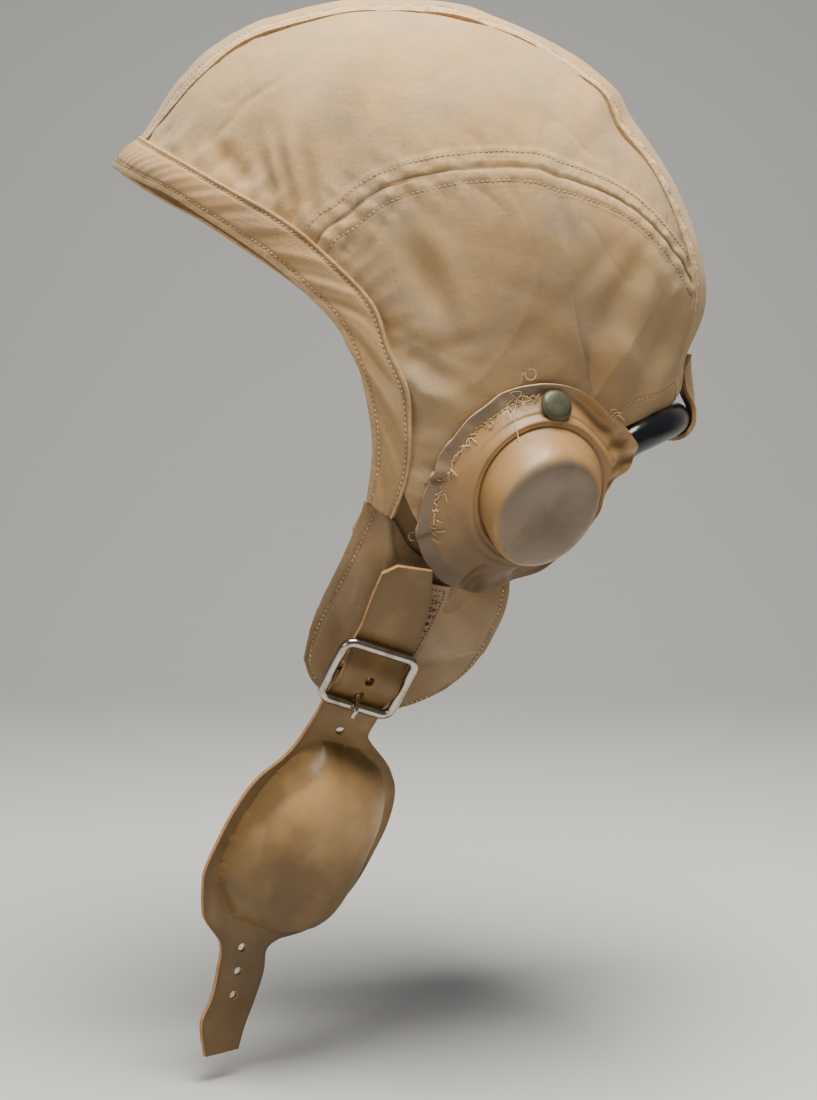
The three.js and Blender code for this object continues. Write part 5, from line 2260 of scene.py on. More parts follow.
@dataclass(frozen=True)
class EarCup:
    """A leather cup moulded into a dome with a slanted face, a stepped shoulder and a flange.

    Attributes:
        base_right: The dome foot's middle, back of the ear's axis.
        base_up: The dome foot's middle, above the axis.
        face_up: The face's middle, above the axis.
        lean_right: Rise of the face toward the back.
        lean_up: Rise of the face upward.
        dome_part: The dome's share of the way from the face's middle to the flange's edge.
    """

    base_right: float = 2.5
    base_up: float = 1.0
    face_up: float = -2.9
    lean_right: float = -0.172
    lean_up: float = 0.178
    dome_part: float = 0.55

    def dome(self, turn: Array, radius: Array, height: Array, top: Array) -> Array:
        """Points of the dome.

        Args:
            turn: Angles round it, in radians.
            radius: The rings' radii.
            height: Their heights.
            top: Their shares of the face's lean.

        Returns:
            The points.
        """
        right = self.base_right * (1 - top) + radius * np.cos(turn)
        up = self.base_up + (self.face_up - self.base_up) * top + radius * np.sin(turn)
        lean = self.lean_right * right + self.lean_up * (up - self.face_up)
        return EAR.place(right, up, height + top * lean)

    def flange(self, turn: Array, share: Array, height: Array) -> Array:
        """Points of the shoulder and the flange.

        Args:
            turn: Angles round the cup, in radians.
            share: 0 at the dome's foot and 1 at the edge.
            height: Heights over the ear's plane or the head.

        Returns:
            The points.
        """
        foot = DOME_SECTION[-1].radius
        right, up = self.base_right + foot * np.cos(turn), self.base_up + foot * np.sin(turn)
        reach = np.maximum(FLANGE_REACH(np.degrees(turn) % 360), np.hypot(right, up) + 2.5)
        right += (reach * np.cos(turn) - right) * share
        up += (reach * np.sin(turn) - up) * share
        drape = FLANGE_DRAPE(np.degrees(turn) % 360) * smooth(0, 0.6, share)
        return EAR.place(right, up, height + drape * EAR.head_height(right, up))

    def surface(self, turn: Array, v: Array) -> Array:
        """Points of the whole cup, from the face's middle at 0 to the flange's edge at 1.

        Args:
            turn: Angles round the cup, in radians.
            v: Shares from the face to the edge.

        Returns:
            The points.
        """
        rows = [(0, 19.2, 1), *((r.radius, r.height, r.top) for r in DOME_SECTION)]
        dome_line = Path(spline_points(rows, 24, True))
        rim = [(0, DOME_SECTION[-1].height), *((r.share, r.height) for r in FLANGE_SECTION)]
        rim_line = Curve.through([r[0] for r in rim], [r[1] for r in rim])
        on_dome = v <= self.dome_part
        out = np.empty((len(v), 3))
        section = dome_line.share(v[on_dome] / self.dome_part)
        out[on_dome] = self.dome(turn[on_dome], *section.T)
        share = self.beyond_dome(v[~on_dome])
        out[~on_dome] = self.flange(turn[~on_dome], share, rim_line(share))
        return out + EAR.axis * self.relief(np.degrees(turn) % 360, v)[:, None]

    def beyond_dome(self, v: Array) -> Array:
        """Shares from the dome's foot at 0 to the flange's edge at 1."""
        return np.clip((v - self.dome_part) / (1 - self.dome_part), 0, 1)

    def relief(self, angle: Array, v: Array) -> Array:
        """The fine shape of the cup: dent, grooves, pleats and creases, along its axis.

        Args:
            angle: Angles round the cup, in degrees.
            v: Shares from the face to the edge.

        Returns:
            The rise, in millimetres.
        """
        share = self.beyond_dome(v)
        dome = np.clip(v / self.dome_part, 0, 1)
        right, up = dome * np.cos(np.radians(angle)), dome * np.sin(np.radians(angle))
        rise = -1.7 * bump(np.hypot(right - 0.22, up - 0.14), 0.3) * smooth(0.75, 0.6, dome)
        rise += 0.7 * bump(np.hypot(right - 0.02, up + 0.3), 0.2)
        rise -= 0.5 * bump(np.hypot(right - 0.4, up + 0.25), 0.2)
        rise += 0.5 * bump(v - 0.58, 0.02) + 0.7 * bump(v - 0.63, 0.03)
        rise -= 0.6 * bump(v - 0.69, 0.018)
        flange = smooth(0.3, 0.75, share)
        for crease in CUP_CREASES:
            turned = (angle - crease.angle + 180) % 360 - 180
            deep = smooth(crease.start, crease.start + 0.3, share)
            rise += crease.depth * bump(turned, crease.width) * deep
        ripple = np.sin(np.radians(angle * 13 + 70 * np.sin(np.radians(angle * 2))))
        rise += flange * (0.3 * ripple + 0.35 * ripple * smooth(0.7, 1, share))
        stitched = smooth(85, 100, angle) * (1 - smooth(210, 222, angle))
        rise -= 0.5 * stitched * bump(share - self.stitch_share(angle), 0.05)
        curl = bump(angle - 50, 26)
        rise += curl * (2.4 * smooth(0.72, 1, share) - 1.0 * bump(share - 0.6, 0.18))
        return rise

    def stitch_share(self, angle: Array) -> Array:
        """Where the hand stitches lie between the dome's foot and the flange's edge.

        Args:
            angle: Angles round the cup, in degrees.

        Returns:
            The shares.
        """
        turn = np.radians(angle)
        foot = DOME_SECTION[-1].radius
        start = np.hypot(self.base_right + foot * np.cos(turn), self.base_up + foot * np.sin(turn))
        reach = np.maximum(FLANGE_REACH(angle), start + 2.5)
        return np.clip((HAND_ROW(angle) - start) / (reach - start), 0, 1)

    def build(self, side: Side) -> Piece:
        """Makes one cup.

        Args:
            side: The side of the head.

        Returns:
            The cup.
        """
        def place(u: Array, v: Array) -> Array:
            """Points of the cup."""
            return self.surface(u * TWIST, v)

        def tone(u: Array, v: Array) -> Array:
            """Where the leather is greyer: on the dome's face and on the flange beyond the hand
            stitches.
            """
            beyond = smooth(0.0, 0.12, self.beyond_dome(v) - self.stitch_share(u * 360))
            sewn = smooth(70, 95, u * 360) * (1 - smooth(225, 245, u * 360))
            return np.clip(1 - smooth(0.325, 0.375, v) + 0.8 * beyond * sewn * (v > 0.6), 0, 1)

        def soil(u: Array, v: Array) -> Array:
            """Painted shade on the cup's lower part and in the corner at the dome's foot."""
            # Painted shade on the lower part of the cup.
            low = smooth(188, 236, u * 360) * (1 - smooth(330, 350, u * 360))
            low *= smooth(0.46, 0.62, v)
            # Painted shade: a ring at the dome's foot, and the lower part.
            return np.clip(0.2 * bump(v - 0.562, 0.014) + 0.8 * low, 0, 0.8)

        sheet = Sheet(f"ear_cup_{side.label}_leather", 260, 130, mirror_placer(place, side),
                      CUP_LEATHER, (250, 60), lambda p, v: p - EAR.centre * side.flip,
                      {"tone": tone, "soil": soil})
        piece = sheet.build(rim=0.35, rim_material=True, weld=True)
        piece.data.materials.append(CUP_LEATHER_FINISH)
        piece.data.materials.append(CUP_EDGE)
        return piece

    def hand_stitches(self, side: Side) -> list[Piece]:
        """Sews the uneven hand stitches on the flange and leaves their loose ends.

        Args:
            side: The side of the head.

        Returns:
            The stitches and the loose threads.
        """
        rng = np.random.default_rng(90 + side.value)
        flip = side.flip

        def spot(angle: float, beside: float, out: float) -> Array:
            """A place at or beside the stitches."""
            share = self.stitch_share(np.array([angle])) + beside / 14
            v = self.dome_part + (1 - self.dome_part) * np.clip(share, 0, 1)
            return (self.surface(np.radians([angle]), v)[0] + EAR.axis * out) * flip

        sewn, ends = [], []
        angle = 93.0
        while angle < 213:
            step = rng.uniform(2.8, 4.6)
            slant = rng.uniform(-0.8, 0.8)
            rows = [spot(angle + step * way, slant * beside, out) for way, beside, out in
                    ((0, -1, -0.3), (0.25, -0.5, 0.3), (0.6, 0.5, 0.3), (0.85, 1, -0.3))]
            sewn.append(spline_points(rows, 5, True))
            if rng.uniform() < (0.9 if angle < 150 else 0.4):
                tip = [spot(angle, 0, 0.2)]
                for turn, beside, out in ((2, 1.4, 1.0), (4, 2.6, 0.9)):
                    tip.append(spot(angle + rng.uniform(-turn, turn),
                                    rng.uniform(-beside, beside), out))
                ends.append(spline_points(tip, 5, True))
            angle += step
        if side is Side.LEFT:
            ends += [spline_points(line, 8, True) for line in LOOSE_THREADS]
        return [threads_piece("stitch", sewn, 0.23), threads_piece("end", ends, 0.15)]


# The chin strap and its buckle


class StrapForm:
    """The strap's middle line, facing and section."""

    dome_middle = 115
    dome_half = 37.5
    dome_height = 19

    def __init__(self) -> None:
        """Measures the line and its tables."""
        steps = 60
        self.line = Path(spline_points([(r.x, r.y, r.z) for r in STRAP], steps, True))
        along = self.line.along[::steps]
        self.yaw, self.pitch, self.front, self.back = (
            Curve.through(along, [getattr(r, key) for r in STRAP])
            for key in ("yaw", "pitch", "front", "back"))
        self.length = self.line.length
        stations = (78, 85, 98, 112, 128, 143, 152)
        self.cup_front = Curve.through(stations, (5, 11, 17.5, 20.6, 22.4, 19.5, 10))
        self.cup_back = Curve.through(stations, (11, 22.5, 29.6, 31.4, 31, 25.6, 10))

    def frame(self, along: Array) -> tuple[Array, Array, Array, Array]:
        """Middle, way down, way across and facing at distances along the strap.

        Args:
            along: Distances along the strap, in millimetres.

        Returns:
            One row of each for every distance.
        """
        along = np.atleast_1d(np.asarray(along, float))
        middle = self.line.at(np.clip(along, 0, self.length))
        down = self.line.tangent(np.clip(along, 0, self.length))
        yaw, pitch = np.radians(self.yaw(along)), np.radians(self.pitch(along))
        level = np.cos(pitch)
        facing = np.stack([np.cos(yaw) * level, np.sin(yaw) * level, -np.sin(pitch)], -1)
        facing = unit(facing - down * (facing * down).sum(-1, keepdims=True))
        across = np.cross(down, facing)
        across *= np.where(across[:, 1:2] < 0, -1, 1)
        return middle, down, across, facing

    def rise(self, along: Array, across: Array) -> Array:
        """How far the strap's outer face stands off its middle line.

        Args:
            along: Distances along the strap, in millimetres.
            across: Distances across it, toward the back.

        Returns:
            The rise, in millimetres.
        """
        gap = np.abs(along - BUCKLE.along)
        over = -3.25 + 5.75 * (1 + np.cos(math.pi * np.minimum(gap / BUCKLE.half_length, 1))) / 2
        fade = -3.25 * (1 - 0.6 * smooth(BUCKLE.half_length, BUCKLE.half_length + 9, gap))
        weave = np.where(gap < BUCKLE.half_length, over, fade)
        return weave + self.dome(along, across) + STRAP_LEATHER / 2

    def dome(self, along: Array, across: Array) -> Array:
        """How far the chin cup rises from the strap.

        Args:
            along: Distances along the strap, in millimetres.
            across: Distances across it, toward the back.

        Returns:
            The rise, in millimetres.
        """
        half = np.where(across < 0, self.cup_front(along), self.cup_back(along))
        ends = np.maximum(1 - np.abs((along - self.dome_middle) / self.dome_half) ** 3, 0) ** 0.5
        sides = np.maximum(1 - np.minimum(np.abs(across) / half, 1) ** 2.6, 0) ** 0.55
        return self.dome_height * ends * sides

    def points(self, along: Array, across: Array) -> Array:
        """Points of the strap's outer face."""
        middle, _, side, facing = self.frame(along)
        return middle + side * across[:, None] + facing * self.rise(along, across)[:, None]


@dataclass(frozen=True)
class Buckle:
    """A wire buckle with a sunk middle bar and a prong.

    Attributes:
        along: Where its bar lies along the strap.
        half_length: From its bar to its ends, in millimetres.
        half_width: From its middle to its sides.
        wire: The wire's radius.
        corner: The bend's radius.
        drop: How far the bar lies below the frame.
    """

    along: float = 46.2
    half_length: float = 12.7
    half_width: float = 13.7
    wire: float = 1.75
    corner: float = 3.6
    drop: float = 2.2

    def place(self, across: Array, up: Array, out: Array) -> Array:
        """Points at distances across, up toward the ear and out of the frame's plane."""
        middle, down, side, facing = (rows[0] for rows in STRAP_FORM.frame(self.along))
        return (middle + np.multiply.outer(across, side) - np.multiply.outer(up, down)
                + np.multiply.outer(out, facing))

    def frame_line(self) -> Array:
        """The wire's line, with one side a little bowed.

        Returns:
            The points of the line.
        """
        turns = []
        corners = ((1, 1, 0), (-1, 1, 90), (-1, -1, 180), (1, -1, 270))
        for x, y, start in corners:
            for step in range(9):
                turn = math.radians(start + 90 * step / 8)
                turns.append((
                    x * (self.half_width - self.corner) + self.corner * math.cos(turn),
                    y * (self.half_length - self.corner) + self.corner * math.sin(turn),
                ))
        flat = Path(np.array([*turns, turns[0]])).share(np.linspace(0, 1, 160, endpoint=False))
        bow = 0.7 * np.cos(np.clip(flat[:, 1] / self.half_length, -1, 1) * math.pi / 2)
        flat[:, 0] -= np.where(flat[:, 0] < 0, 0.3 * bow, 0)
        return self.place(flat[:, 0], flat[:, 1], np.zeros(len(flat)))

    def build(self, side: Side) -> list[Piece]:
        """Makes the frame with its bar, and the prong.

        Args:
            side: The side of the head.

        Returns:
            The frame and the prong.
        """
        label = side.label
        flip = side.flip
        end, low = self.half_width, -self.drop

        def bar(points: Sequence[tuple[float, float, float]], radius: float) -> Piece:
            """A straight bar between points of the frame's own directions."""
            rows = np.array(points)
            return tube_piece("bar", self.place(*rows.T) * flip, radius)

        parts = [
            tube_piece("wire", self.frame_line() * flip, self.wire, closed=True),
            bar([(-end, 0, low), (end, 0, low)], 1.2),
            bar([(-end, 0, low - 0.7), (-end, 0, 0.4)], 1.15),
            bar([(end, 0, low - 0.7), (end, 0, 0.4)], 1.15),
        ]
        frame_piece = joined(f"buckle_{label}_wire", parts)
        turns = np.linspace(0, TWIST, 32, endpoint=False)
        eye = self.place(np.zeros(32), 2.18 * np.cos(turns), low + 2.18 * np.sin(turns))
        pin = spline_points([(0, -1.9, -3.1), (0, -5, -3.0), (0, -9.2, -0.6), (0, -12, 3.8),
                             (0, -14.8, 3.8)], 10, True)
        prong = joined(f"buckle_prong_{label}_pin", [
            tube_piece("eye", eye * flip, 0.675, closed=True),
            tube_piece("pin", self.place(*pin.T) * flip, 0.9),
        ])
        return [frame_piece, prong]


BUCKLE = Buckle()
STRAP_FORM = StrapForm()


@dataclass(frozen=True)
class ChinStrap:
    """The leather strap with its chin cup."""

    def build(self) -> Piece:
        """Makes the strap with its punched holes.

        Returns:
            The strap.
        """
        def place(u: Array, v: Array) -> Array:
            """Points of the strap's outer face, between its slanted ends.

            Args:
                u: Shares of the first direction.
                v: Shares of the second direction.

            Returns:
                The points.
            """
            start = 0.6 + 3.4 * np.maximum(1 - u / 0.26, 0)
            end = STRAP_FORM.length - 0.5 - 3.4 * u
            along = start + (end - start) * v
            share = 2 * u - 1
            half = np.where(share < 0, STRAP_FORM.front(along), STRAP_FORM.back(along))
            return STRAP_FORM.points(along, share * half)

        def tone(u: Array, v: Array) -> Array:
            """Painted highlight on the upper part of the chin cup's dome."""
            along = 0.6 + (STRAP_FORM.length - 1.1) * v
            height = STRAP_FORM.dome(along, (u - 0.5) * 50) / STRAP_FORM.dome_height
            # Painted highlight where the dome stands high, fading toward the lower end.
            return 0.95 * smooth(0.25, 0.95, height) * smooth(138, 88, along)

        def soil(u: Array, v: Array) -> Array:
            """How dark the leather is: painted shade toward the lower end, and soiled edges."""
            along = 0.6 + (STRAP_FORM.length - 1.1) * v
            edges = bump(np.abs(2 * u - 1) - 1, 0.12)
            # Painted shade from 112 mm along down to the lower end; the edges are soiled.
            return np.clip(0.4 * smooth(112, 150, along) + 0.4 * edges, 0, 0.7)

        sheet = Sheet("chin_strap_leather", 90, 360, place, STRAP_LEATHER, (23, 193),
                      lambda p, v: STRAP_FORM.frame(60.0)[3], {"tone": tone, "soil": soil})
        piece = sheet.build(rim=0.3, rim_material=True)
        for material in (STRAP_FINISH, RAW_EDGE):
            piece.data.materials.append(material)
        baked(piece)
        punches = [self._punch(hole.along, hole.radius, hole.radius) for hole in STRAP_HOLES]
        return punched(piece, [*punches, self._punch(55.2, 4, 1.7)])

    def _punch(self, along: float, half_length: float, half_width: float) -> Piece:
        """Makes the shape that a punch removes.

        Args:
            along: Where it is along the strap.
            half_length: Half its length.
            half_width: Half its width.

        Returns:
            The shape.
        """
        _, down, across, facing = (rows[0] for rows in STRAP_FORM.frame(np.array([along])))
        origin = STRAP_FORM.points(np.array([along]), np.zeros(1))[0]
        matrix = basis(origin, across * half_width * MM, down * half_length * MM, -facing * 7 * MM)
        if matrix.determinant() < 0:
            matrix = matrix @ Matrix.Diagonal((-1, 1, 1, 1))
        bm = bmesh.new()
        bmesh.ops.create_cone(bm, cap_ends=True, segments=24, radius1=1, radius2=1, depth=2,
                              matrix=matrix)
        bmesh.ops.recalc_face_normals(bm, faces=bm.faces)
        mesh = mesh_of(bm, "punch")
        mesh.materials.append(RAW_EDGE)
        return link("punch", mesh)


@dataclass(frozen=True)
class BuckleTab:
    """The leather tab folded round the buckle's bar.

    Attributes:
        top: Its upper end along the strap's line.
        top_shift: How far its upper end lies back.
        half_width: Half its width.
    """

    top: float = 5.0
    top_shift: float = 5.4
    half_width: float = 10.4

    def on_head(self, along: Array, across: Array, lift: float) -> Array:
        """Points over the cheek flap.

        Args:
            along: Distances along the strap, in millimetres.
            across: Distances across it, toward the back.
            lift: How far they lie over the form.

        Returns:
            The points.
        """
        share = (along - self.top) / (BUCKLE.along - 2.4 - self.top)
        shift = self.top_shift * (1 - smooth(0, 1, share))
        middle, _, side, _ = STRAP_FORM.frame(along)
        near = middle + side * (across + shift)[:, None]
        points = FORM.points(FORM.discs([SidePoint(p[1], p[2]) for p in near]))
        return raised(points, np.full(len(points), lift))

    def build(self, side: Side) -> Piece:
        """Makes a tab.

        Args:
            side: The side of the head.

        Returns:
            The tab.
        """
        stations = np.linspace(self.top, BUCKLE.along - 9, 8)
        turn = np.radians(np.arange(95, -176, -30))
        ring = 1.2 + GAP + TAB_PLY
        round_bar = [(ring * math.cos(t), -BUCKLE.drop + ring * math.sin(t)) for t in turn]

        def place(u: Array, v: Array) -> Array:
            """Points down the outer ply, round the bar and up the inner ply.

            Args:
                u: Shares of the first direction.
                v: Shares of the second direction.

            Returns:
                The points.
            """
            across = (2 * u - 1) * self.half_width
            rows = [self.on_head(np.full_like(u, a), across, 0.42 + 2 * TAB_PLY) for a in stations]
            rows += [BUCKLE.place(0, -x, z) + across[:, None] * STRAP_FORM.frame(BUCKLE.along)[2]
                     for x, z in round_bar]
            rows += [self.on_head(np.full_like(u, a), across, 0.42) for a in stations[::-1]]
            line = np.stack(rows)
            at = v * (len(line) - 1)
            low = np.minimum(at.astype(int), len(line) - 2)
            share = (at - low)[:, None]
            which = np.arange(len(u))
            before, after = np.maximum(low - 1, 0), np.minimum(low + 2, len(line) - 1)
            a, b, c, d = (line[k, which] for k in (before, low, low + 1, after))
            return 0.5 * (2 * b + (c - a) * share + (2 * a - 5 * b + 4 * c - d) * share**2
                          + (3 * b - a - 3 * c + d) * share**3)

        def outward(_: Array, v: Array) -> Array:
            """Out of the tab's outer ply."""
            return np.where(v < 0.4, side.value, 0)[:, None] * [1, 0, 0]

        sheet = Sheet(f"buckle_tab_{side.label}_leather", 24, 150, mirror_placer(place, side),
                      TAB_PLY, (21, 90), outward, {"tone": plain(0.2), "soil": plain(0)})
        return sheet.build(rim=0.2)

    def stitches(self, side: Side) -> Piece:
        """Sews the tab to the flap along its edges and in a dense patch at its top.

        Args:
            side: The side of the head.

        Returns:
            The stitches.
        """
        flip = side.flip
        low, edge = 37.0, self.half_width - 1.7
        line = np.linspace(0, 1, 120)
        back_and_forth = 0.5 - 0.5 * np.cos(line * TWIST * 5.5)
        ways = [
            (self.top + 1.8 + (low - self.top - 1.8) * line, np.full(120, edge)),
            (self.top + 1.8 + (low - self.top - 1.8) * line, np.full(120, -edge)),
            (np.full(120, self.top + 1.8), edge * (2 * line - 1)),
            (self.top + 3.4 + 15 * line, edge - 1.2 - 5.0 * back_and_forth),
            (self.top + 4.6 + 15 * line, edge - 0.6 - 4.6 * (1 - back_and_forth)),
        ]
        rows = []
        for along, across in ways:
            points = self.on_head(along, across, 0.45 + 2 * TAB_PLY)
            rows.append((points * flip, FORM.normals(points) * flip))
        return Stitching(pitch=1.35, length=0.95, radius=0.27, seed=7).sew(
            f"buckle_tab_{side.label}_stitches", rows)


@dataclass(frozen=True)
class NapeTube:
    """The rubber tube from cup to cup round the nape, and the cloth loop that carries it.

    Attributes:
        radius: The tube's radius, in millimetres.
        loop_half: Half the loop's width.
        loop_cloth: Its thickness.
        clear: From the tube or the strip to the loop.
    """

    radius: float = 6.2
    loop_half: float = 9.0
    loop_cloth: float = 1.6
    clear: float = 0.9

    def tube(self) -> Piece:
        """Makes the tube.

        Returns:
            The tube.
        """
        left = np.array([(p.x, p.y, p.z) for p in TUBE])
        right = left[-2::-1] * np.array([-1, 1, 1])
        line = spline_points(np.vstack([left, right]), 16, True)
        return tube_piece("nape_tube_hose", line, self.radius, sides=8)

    def loop(self) -> tuple[Piece, Piece]:
        """Makes the loop and its stitches.

        Returns:
            The loop and the stitches.
        """
        middle = TUBE[-1]
        ring = self.radius + self.clear + self.loop_cloth
        rows = [(FORM.back(r.z) + self.clear + self.loop_cloth + r.off, r.z) for r in LOOP_DROP]
        for degrees in range(5, -151, -11):
            turn = math.radians(degrees)
            rows.append((middle.y + ring * math.cos(turn), middle.z + ring * math.sin(turn)))
        path = Path(spline_points(rows, 12, True))

        def place(u: Array, v: Array) -> Array:
            """Points of the loop's outer face.

            Args:
                u: Shares of the first direction.
                v: Shares of the second direction.

            Returns:
                The points.
            """
            flat = path.share(v)
            x = (2 * u - 1) * self.loop_half
            rise = 0.25 * bump(self.loop_half - np.abs(x) - 0.8, 0.8)
            rise -= 0.25 * bump(self.loop_half - np.abs(x) - 2.4, 0.6)
            top = LOOP_DROP[0].z
            y, z = flat.T
            free = smooth(top, top - 7, z) * smooth(middle.z + 3, middle.z + 12, z)
            return np.stack([x, y - x**2 * (1 + 3.4 * free) / 90 + rise, z], axis=-1)

        def soil(u: Array, v: Array) -> Array:
            """How dirty the loop is."""
            gap = self.loop_half * (1 - np.abs(2 * u - 1))
            return 0.35 * bump(gap - 2.4, 0.5) + 0.2

        sheet = Sheet("nape_loop_cloth", 40, 110, place, self.loop_cloth, (18, 55),
                      lambda p, v: p - np.array([0, middle.y - 3, middle.z]),
                      {"wear": plain(0.1), "soil": soil})
        return sheet.build(rim=0.4), self._loop_stitches(place)

    def _loop_stitches(self, place: Placer) -> Piece:
        """Sews the rows inside the loop's edges, over its given shape.

        Args:
            place: Gives the loop's points.

        Returns:
            The stitches.
        """
        share = 1.2 / self.loop_half
        v = np.linspace(0.02, 0.98, 160)
        rows = []
        for u in (share, 1 - share):
            points = place(np.full_like(v, u), v)
            across = place(np.full_like(v, u + 0.01), v) - place(np.full_like(v, u - 0.01), v)
            out = unit(np.cross(across, np.gradient(points, axis=0)))
            rows.append((points, out * np.sign(out[0, 1])))
        return Stitching(radius=0.26, seed=9).sew("nape_loop_stitches", rows)


@dataclass(frozen=True)
class CupSnap:
    """The snap on the ear cup's flange.

    Attributes:
        angle: Where it sits round the cup, in degrees.
        reach: How far from the cup's axis, in millimetres.
        radius: Its radius.
        height: Its height.
    """

    angle: float = 83.0
    reach: float = 31.4
    radius: float = 5.9
    height: float = 2.2

    def build(self, side: Side) -> Piece:
        """Makes one snap by spinning its section.

        Args:
            side: The side of the head.

        Returns:
            The snap.
        """
        seat, normal = self._seat()
        rim, top = self.radius, self.height
        profile = [(0.0, top + 0.15), (2.0, top + 0.1), (rim - 1.9, top), (rim - 1.2, top - 0.25),
                   (rim - 0.6, top - 0.7), (rim - 0.15, top - 1.3), (rim, 0.7), (rim - 0.3, 0.2),
                   (rim - 0.8, 0.0), (0.0, 0.0)]
        bm = bmesh.new()
        verts = [bm.verts.new((r * MM, 0, z * MM)) for r, z in profile]
        edges = [bm.edges.new(pair) for pair in zip(verts, verts[1:])]
        bmesh.ops.spin(bm, geom=verts + edges, cent=(0, 0, 0), axis=(0, 0, 1), angle=TWIST,
                       steps=48, use_merge=True)
        bmesh.ops.remove_doubles(bm, verts=bm.verts, dist=1e-6)
        x = unit(np.cross([0, 0, 1], normal)[None])[0]
        flip = side.flip
        bm.transform(basis(seat * flip, x * flip, np.cross(normal, x) * flip, normal * flip))
        bmesh.ops.recalc_face_normals(bm, faces=bm.faces)
        mesh = mesh_of(bm, "cup_snap")
        mesh.shade_smooth()
        return link(f"cup_snap_{side.label}_cap", mesh)

    def _seat(self) -> tuple[Array, Array]:
        """The snap's foot and the direction that it faces.

        Returns:
            The place and the direction.
        """
        foot = math.hypot(CUP.base_right, CUP.base_up + DOME_SECTION[-1].radius)
        full = float(FLANGE_REACH(self.angle))
        heights = column_curve(FLANGE_SECTION, "share", "height")

        def spot(degrees: float, reach: float) -> Array:
            """A place on the flange, without the leather's fine shape."""
            share = np.array([(reach - foot) / (full - foot)])
            return CUP.flange(np.radians([degrees]), share, heights(share))[0]

        round_way = spot(self.angle + 8, self.reach) - spot(self.angle - 8, self.reach)
        out_way = spot(self.angle, self.reach + 4) - spot(self.angle, self.reach - 4)
        normal = unit(np.cross(out_way, round_way)[None])[0]
        return spot(self.angle, self.reach) + normal * (GAP + 0.5), normal


CUP = EarCup()


# The studio


@dataclass(frozen=True)
class Lamp:
    """A large soft light.

    Attributes:
        name: Its name.
        place: Its place in metres.
        aim: What it points at.
        size: Its width and height.
        power: Its power in watts.
        colour: Its colour.
    """

    name: str
    place: Triple
    aim: Triple
    size: tuple[float, float]
    power: float
    colour: Triple

    def build(self) -> None:
        """Puts the light in the scene."""
        data = bpy.data.lights.new(self.name, "AREA")
        data.shape = "RECTANGLE"
        data.size, data.size_y = self.size
        data.energy = self.power
        data.color = self.colour
        lamp = bpy.data.objects.new(self.name, data)
        lamp.location = self.place
        lamp.rotation_euler = look(self.place, self.aim)
        bpy.context.scene.collection.objects.link(lamp)


def look(place: Triple, aim: Triple) -> Euler:
    """The turn of an object that points its -Z axis at an aim."""
    return (Vector(aim) - Vector(place)).to_track_quat("-Z", "Y").to_euler()


class Studio:
    """The pale floor, the backdrop, the lights and the camera."""

    camera_place = (0.760, 0.012, -0.1525)
    camera_aim = (0.0, 0.003, -0.2085)
    sensor = 36.0
    focal_share = 1949 / 1100
    floor_height = -0.402
    lamps = (
        Lamp("top_light", (0.16, 0.06, 0.6), (0, 0, -0.15), (0.5, 0.6), 23.5, (1.0, 0.965, 0.87)),
        Lamp("side_fill", (1.1, -1.0, 0.2), (0, 0, -0.2), (0.6, 0.6), 4.0, (1.0, 0.97, 0.92)),
    )

    def build(self) -> None:
        """Sets up the studio."""
        self._floor()
        for lamp in self.lamps:
            lamp.build()
        world = bpy.data.worlds.new("studio")
        world.use_nodes = True
        background = world.node_tree.nodes["Background"]
        background.inputs["Color"].default_value = (0.9, 0.93, 1.0, 1.0)
        background.inputs["Strength"].default_value = 0.145
        bpy.context.scene.world = world
        lens = bpy.data.cameras.new("camera")
        lens.sensor_fit = "VERTICAL"
        lens.sensor_width = lens.sensor_height = self.sensor
        lens.lens = self.focal_share * self.sensor
        camera = bpy.data.objects.new("camera", lens)
        camera.location = self.camera_place
        camera.rotation_euler = look(self.camera_place, self.camera_aim)
        bpy.context.scene.collection.objects.link(camera)
        bpy.context.scene.camera = camera

    def _floor(self) -> None:
        """Makes the floor with its rounded rise behind the object."""
        bm = bmesh.new()
        bmesh.ops.create_grid(bm, x_segments=60, y_segments=2, size=1)
        for vertex in bm.verts:
            x, y = vertex.co.x, vertex.co.y
            run = (x + 1) * 2.2
            bend = 0.5
            wall = 1.9
            if run < wall:
                place = (-0.9 - bend, wall - run + bend)
            elif run < wall + bend * math.pi / 2:
                turn = (run - wall) / bend
                place = (-0.9 - bend * math.cos(turn), bend - bend * math.sin(turn))
            else:
                place = (-0.9 + run - wall - bend * math.pi / 2, 0.0)
            vertex.co = (place[0], y * 3.0, place[1] + self.floor_height)
        bmesh.ops.recalc_face_normals(bm, faces=bm.faces)
        mesh = mesh_of(bm, "floor")
        mesh.shade_smooth()
        floor = link("floor", mesh)
        material, _, shader = new_material("studio_floor")
        shader.inputs["Base Color"].default_value = (0.6, 0.6, 0.6, 1)
        shader.inputs["Roughness"].default_value = 0.9
        mesh.materials.append(material)
        floor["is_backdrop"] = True


class Cut(NamedTuple):
    """A cloth piece before it was sewn: width, length and area in metres, and what carries it."""

    width: float
    length: float
    area: float | None
    held: str
    rests_on: tuple[str, ...]


CROWN_PANELS = ("crown_panel_left_cloth", "crown_panel_right_cloth")
STRIP_AND_BAND = ("centre_strip_cloth", "brow_band_cloth")
CUTS: dict[str, Cut] = {
    "centre_strip": Cut(0.068, 0.36, 0.0231, "stretched", CROWN_PANELS),
    "brow_band": Cut(0.0175, 0.4, 0.0068, "folded", CROWN_PANELS),
    "crown_panel": Cut(0.078, 0.232, 0.0141, "stretched", STRIP_AND_BAND),
    "side_panel": Cut(0.104, 0.19, 0.014, "stretched", STRIP_AND_BAND),
    "cheek_flap": Cut(0.06, 0.08, 0.0041, "hung", ("brow_band_cloth",)),
    "cheek_facing": Cut(0.029, 0.031, None, "hung", ("brow_band_cloth",)),
    "nape_loop": Cut(0.018, 0.055, None, "folded", ("centre_strip_cloth", "nape_tube_hose")),
}


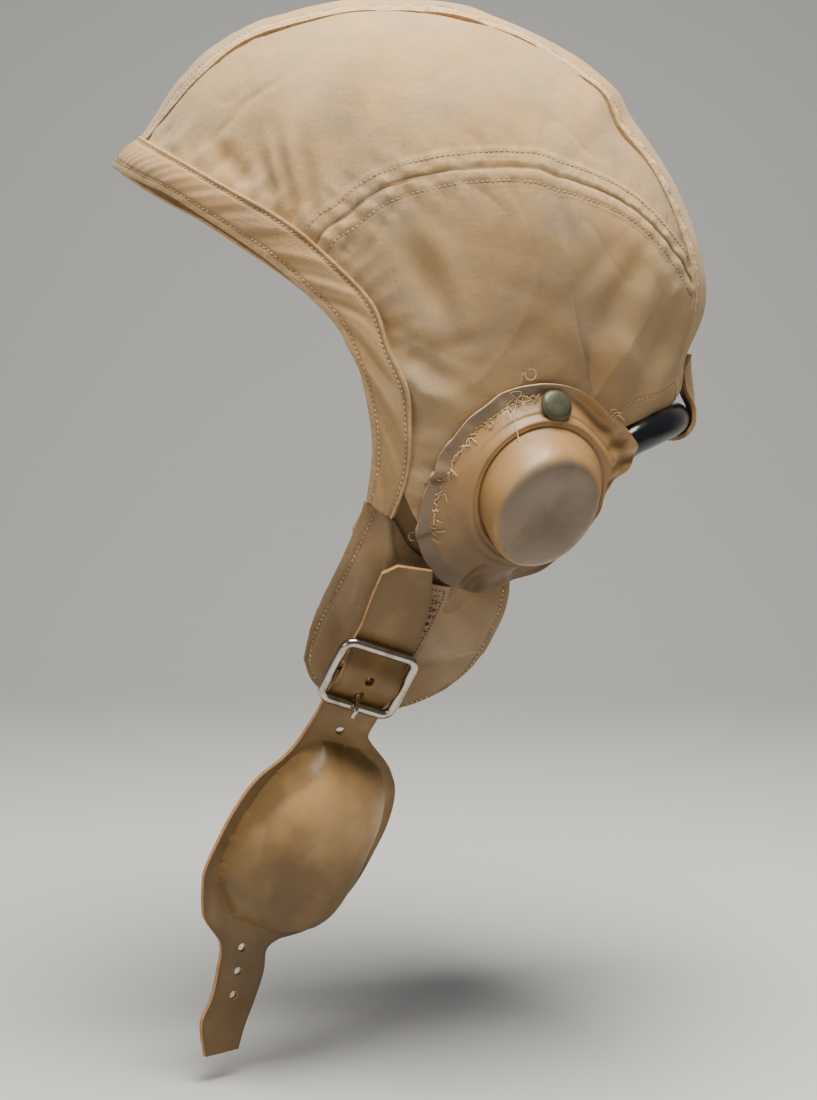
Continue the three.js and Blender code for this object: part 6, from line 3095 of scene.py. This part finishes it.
def declare_cloth(piece: Piece) -> None:
    """Looks up the cut of a cloth piece by its name."""
    cut = next(cut for name, cut in CUTS.items() if piece.name.startswith(name))
    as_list(cut.rests_on)


def build_helmet() -> None:
    """Makes every piece, gives it its finish and its body, and hides the solids that it replaces.
    """
    cap = Cap()
    for piece in cap.build():
        node = piece.name.replace("_cloth", "")
        material = BAND_TWILL if node == "brow_band" else FLAP_TWILL if "cheek" in node else TWILL
        slot = "band_twill" if node == "brow_band" else "twill"
        stands_for = [] if "facing" in node else [node]
        declare_cloth(finish_piece(piece, slot, material, stands_for=stands_for))
    for piece in cap.stitches():
        finish_piece(piece, "twill", THREAD)
    tube = NapeTube()
    finish_piece(tube.tube(), "rubber", RUBBER, stands_for=["nape_tube"])
    loop, loop_stitches = tube.loop()
    declare_cloth(finish_piece(loop, "twill", TWILL, stands_for=["nape_loop"]))
    finish_piece(loop_stitches, "twill", THREAD)
    strap = ChinStrap().build()
    finish_piece(strap, "strap_leather", stands_for=["chin_strap"])
    for side in Side:
        label = side.label
        finish_piece(CUP.build(side), "cup_leather", stands_for=[f"ear_cup_{label}"])
        threads = joined(f"cup_threads_{label}", CUP.hand_stitches(side))
        finish_piece(threads, "twill", PALE_THREAD)
        finish_piece(CupSnap().build(side), "snap_metal", ENAMEL, stands_for=[f"cup_snap_{label}"])
        finish_piece(BuckleTab().build(side), "strap_leather", TAB_FINISH,
                     stands_for=[f"buckle_tab_{label}"])
        finish_piece(BuckleTab().stitches(side), "twill", DARK_THREAD)
        wire, prong = BUCKLE.build(side)
        finish_piece(wire, "nickel", NICKEL, stands_for=[f"buckle_{label}"])
        finish_piece(prong, "nickel", NICKEL, stands_for=[f"buckle_prong_{label}"])


def write_size() -> None:
    """Measures the bounds of the solids and of the dressed pieces."""
    boxes = {"solids": SOLID_BOX, "pieces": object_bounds()}
    {name: [list(corner) for corner in box] for name, box in boxes.items()}


def main() -> None:
    """Dresses the helmet and sets up its picture."""
    logging.basicConfig(level=logging.INFO, format="%(message)s")
    build_helmet()
    Studio().build()
    write_size()


if __name__ == "__main__":
    main()
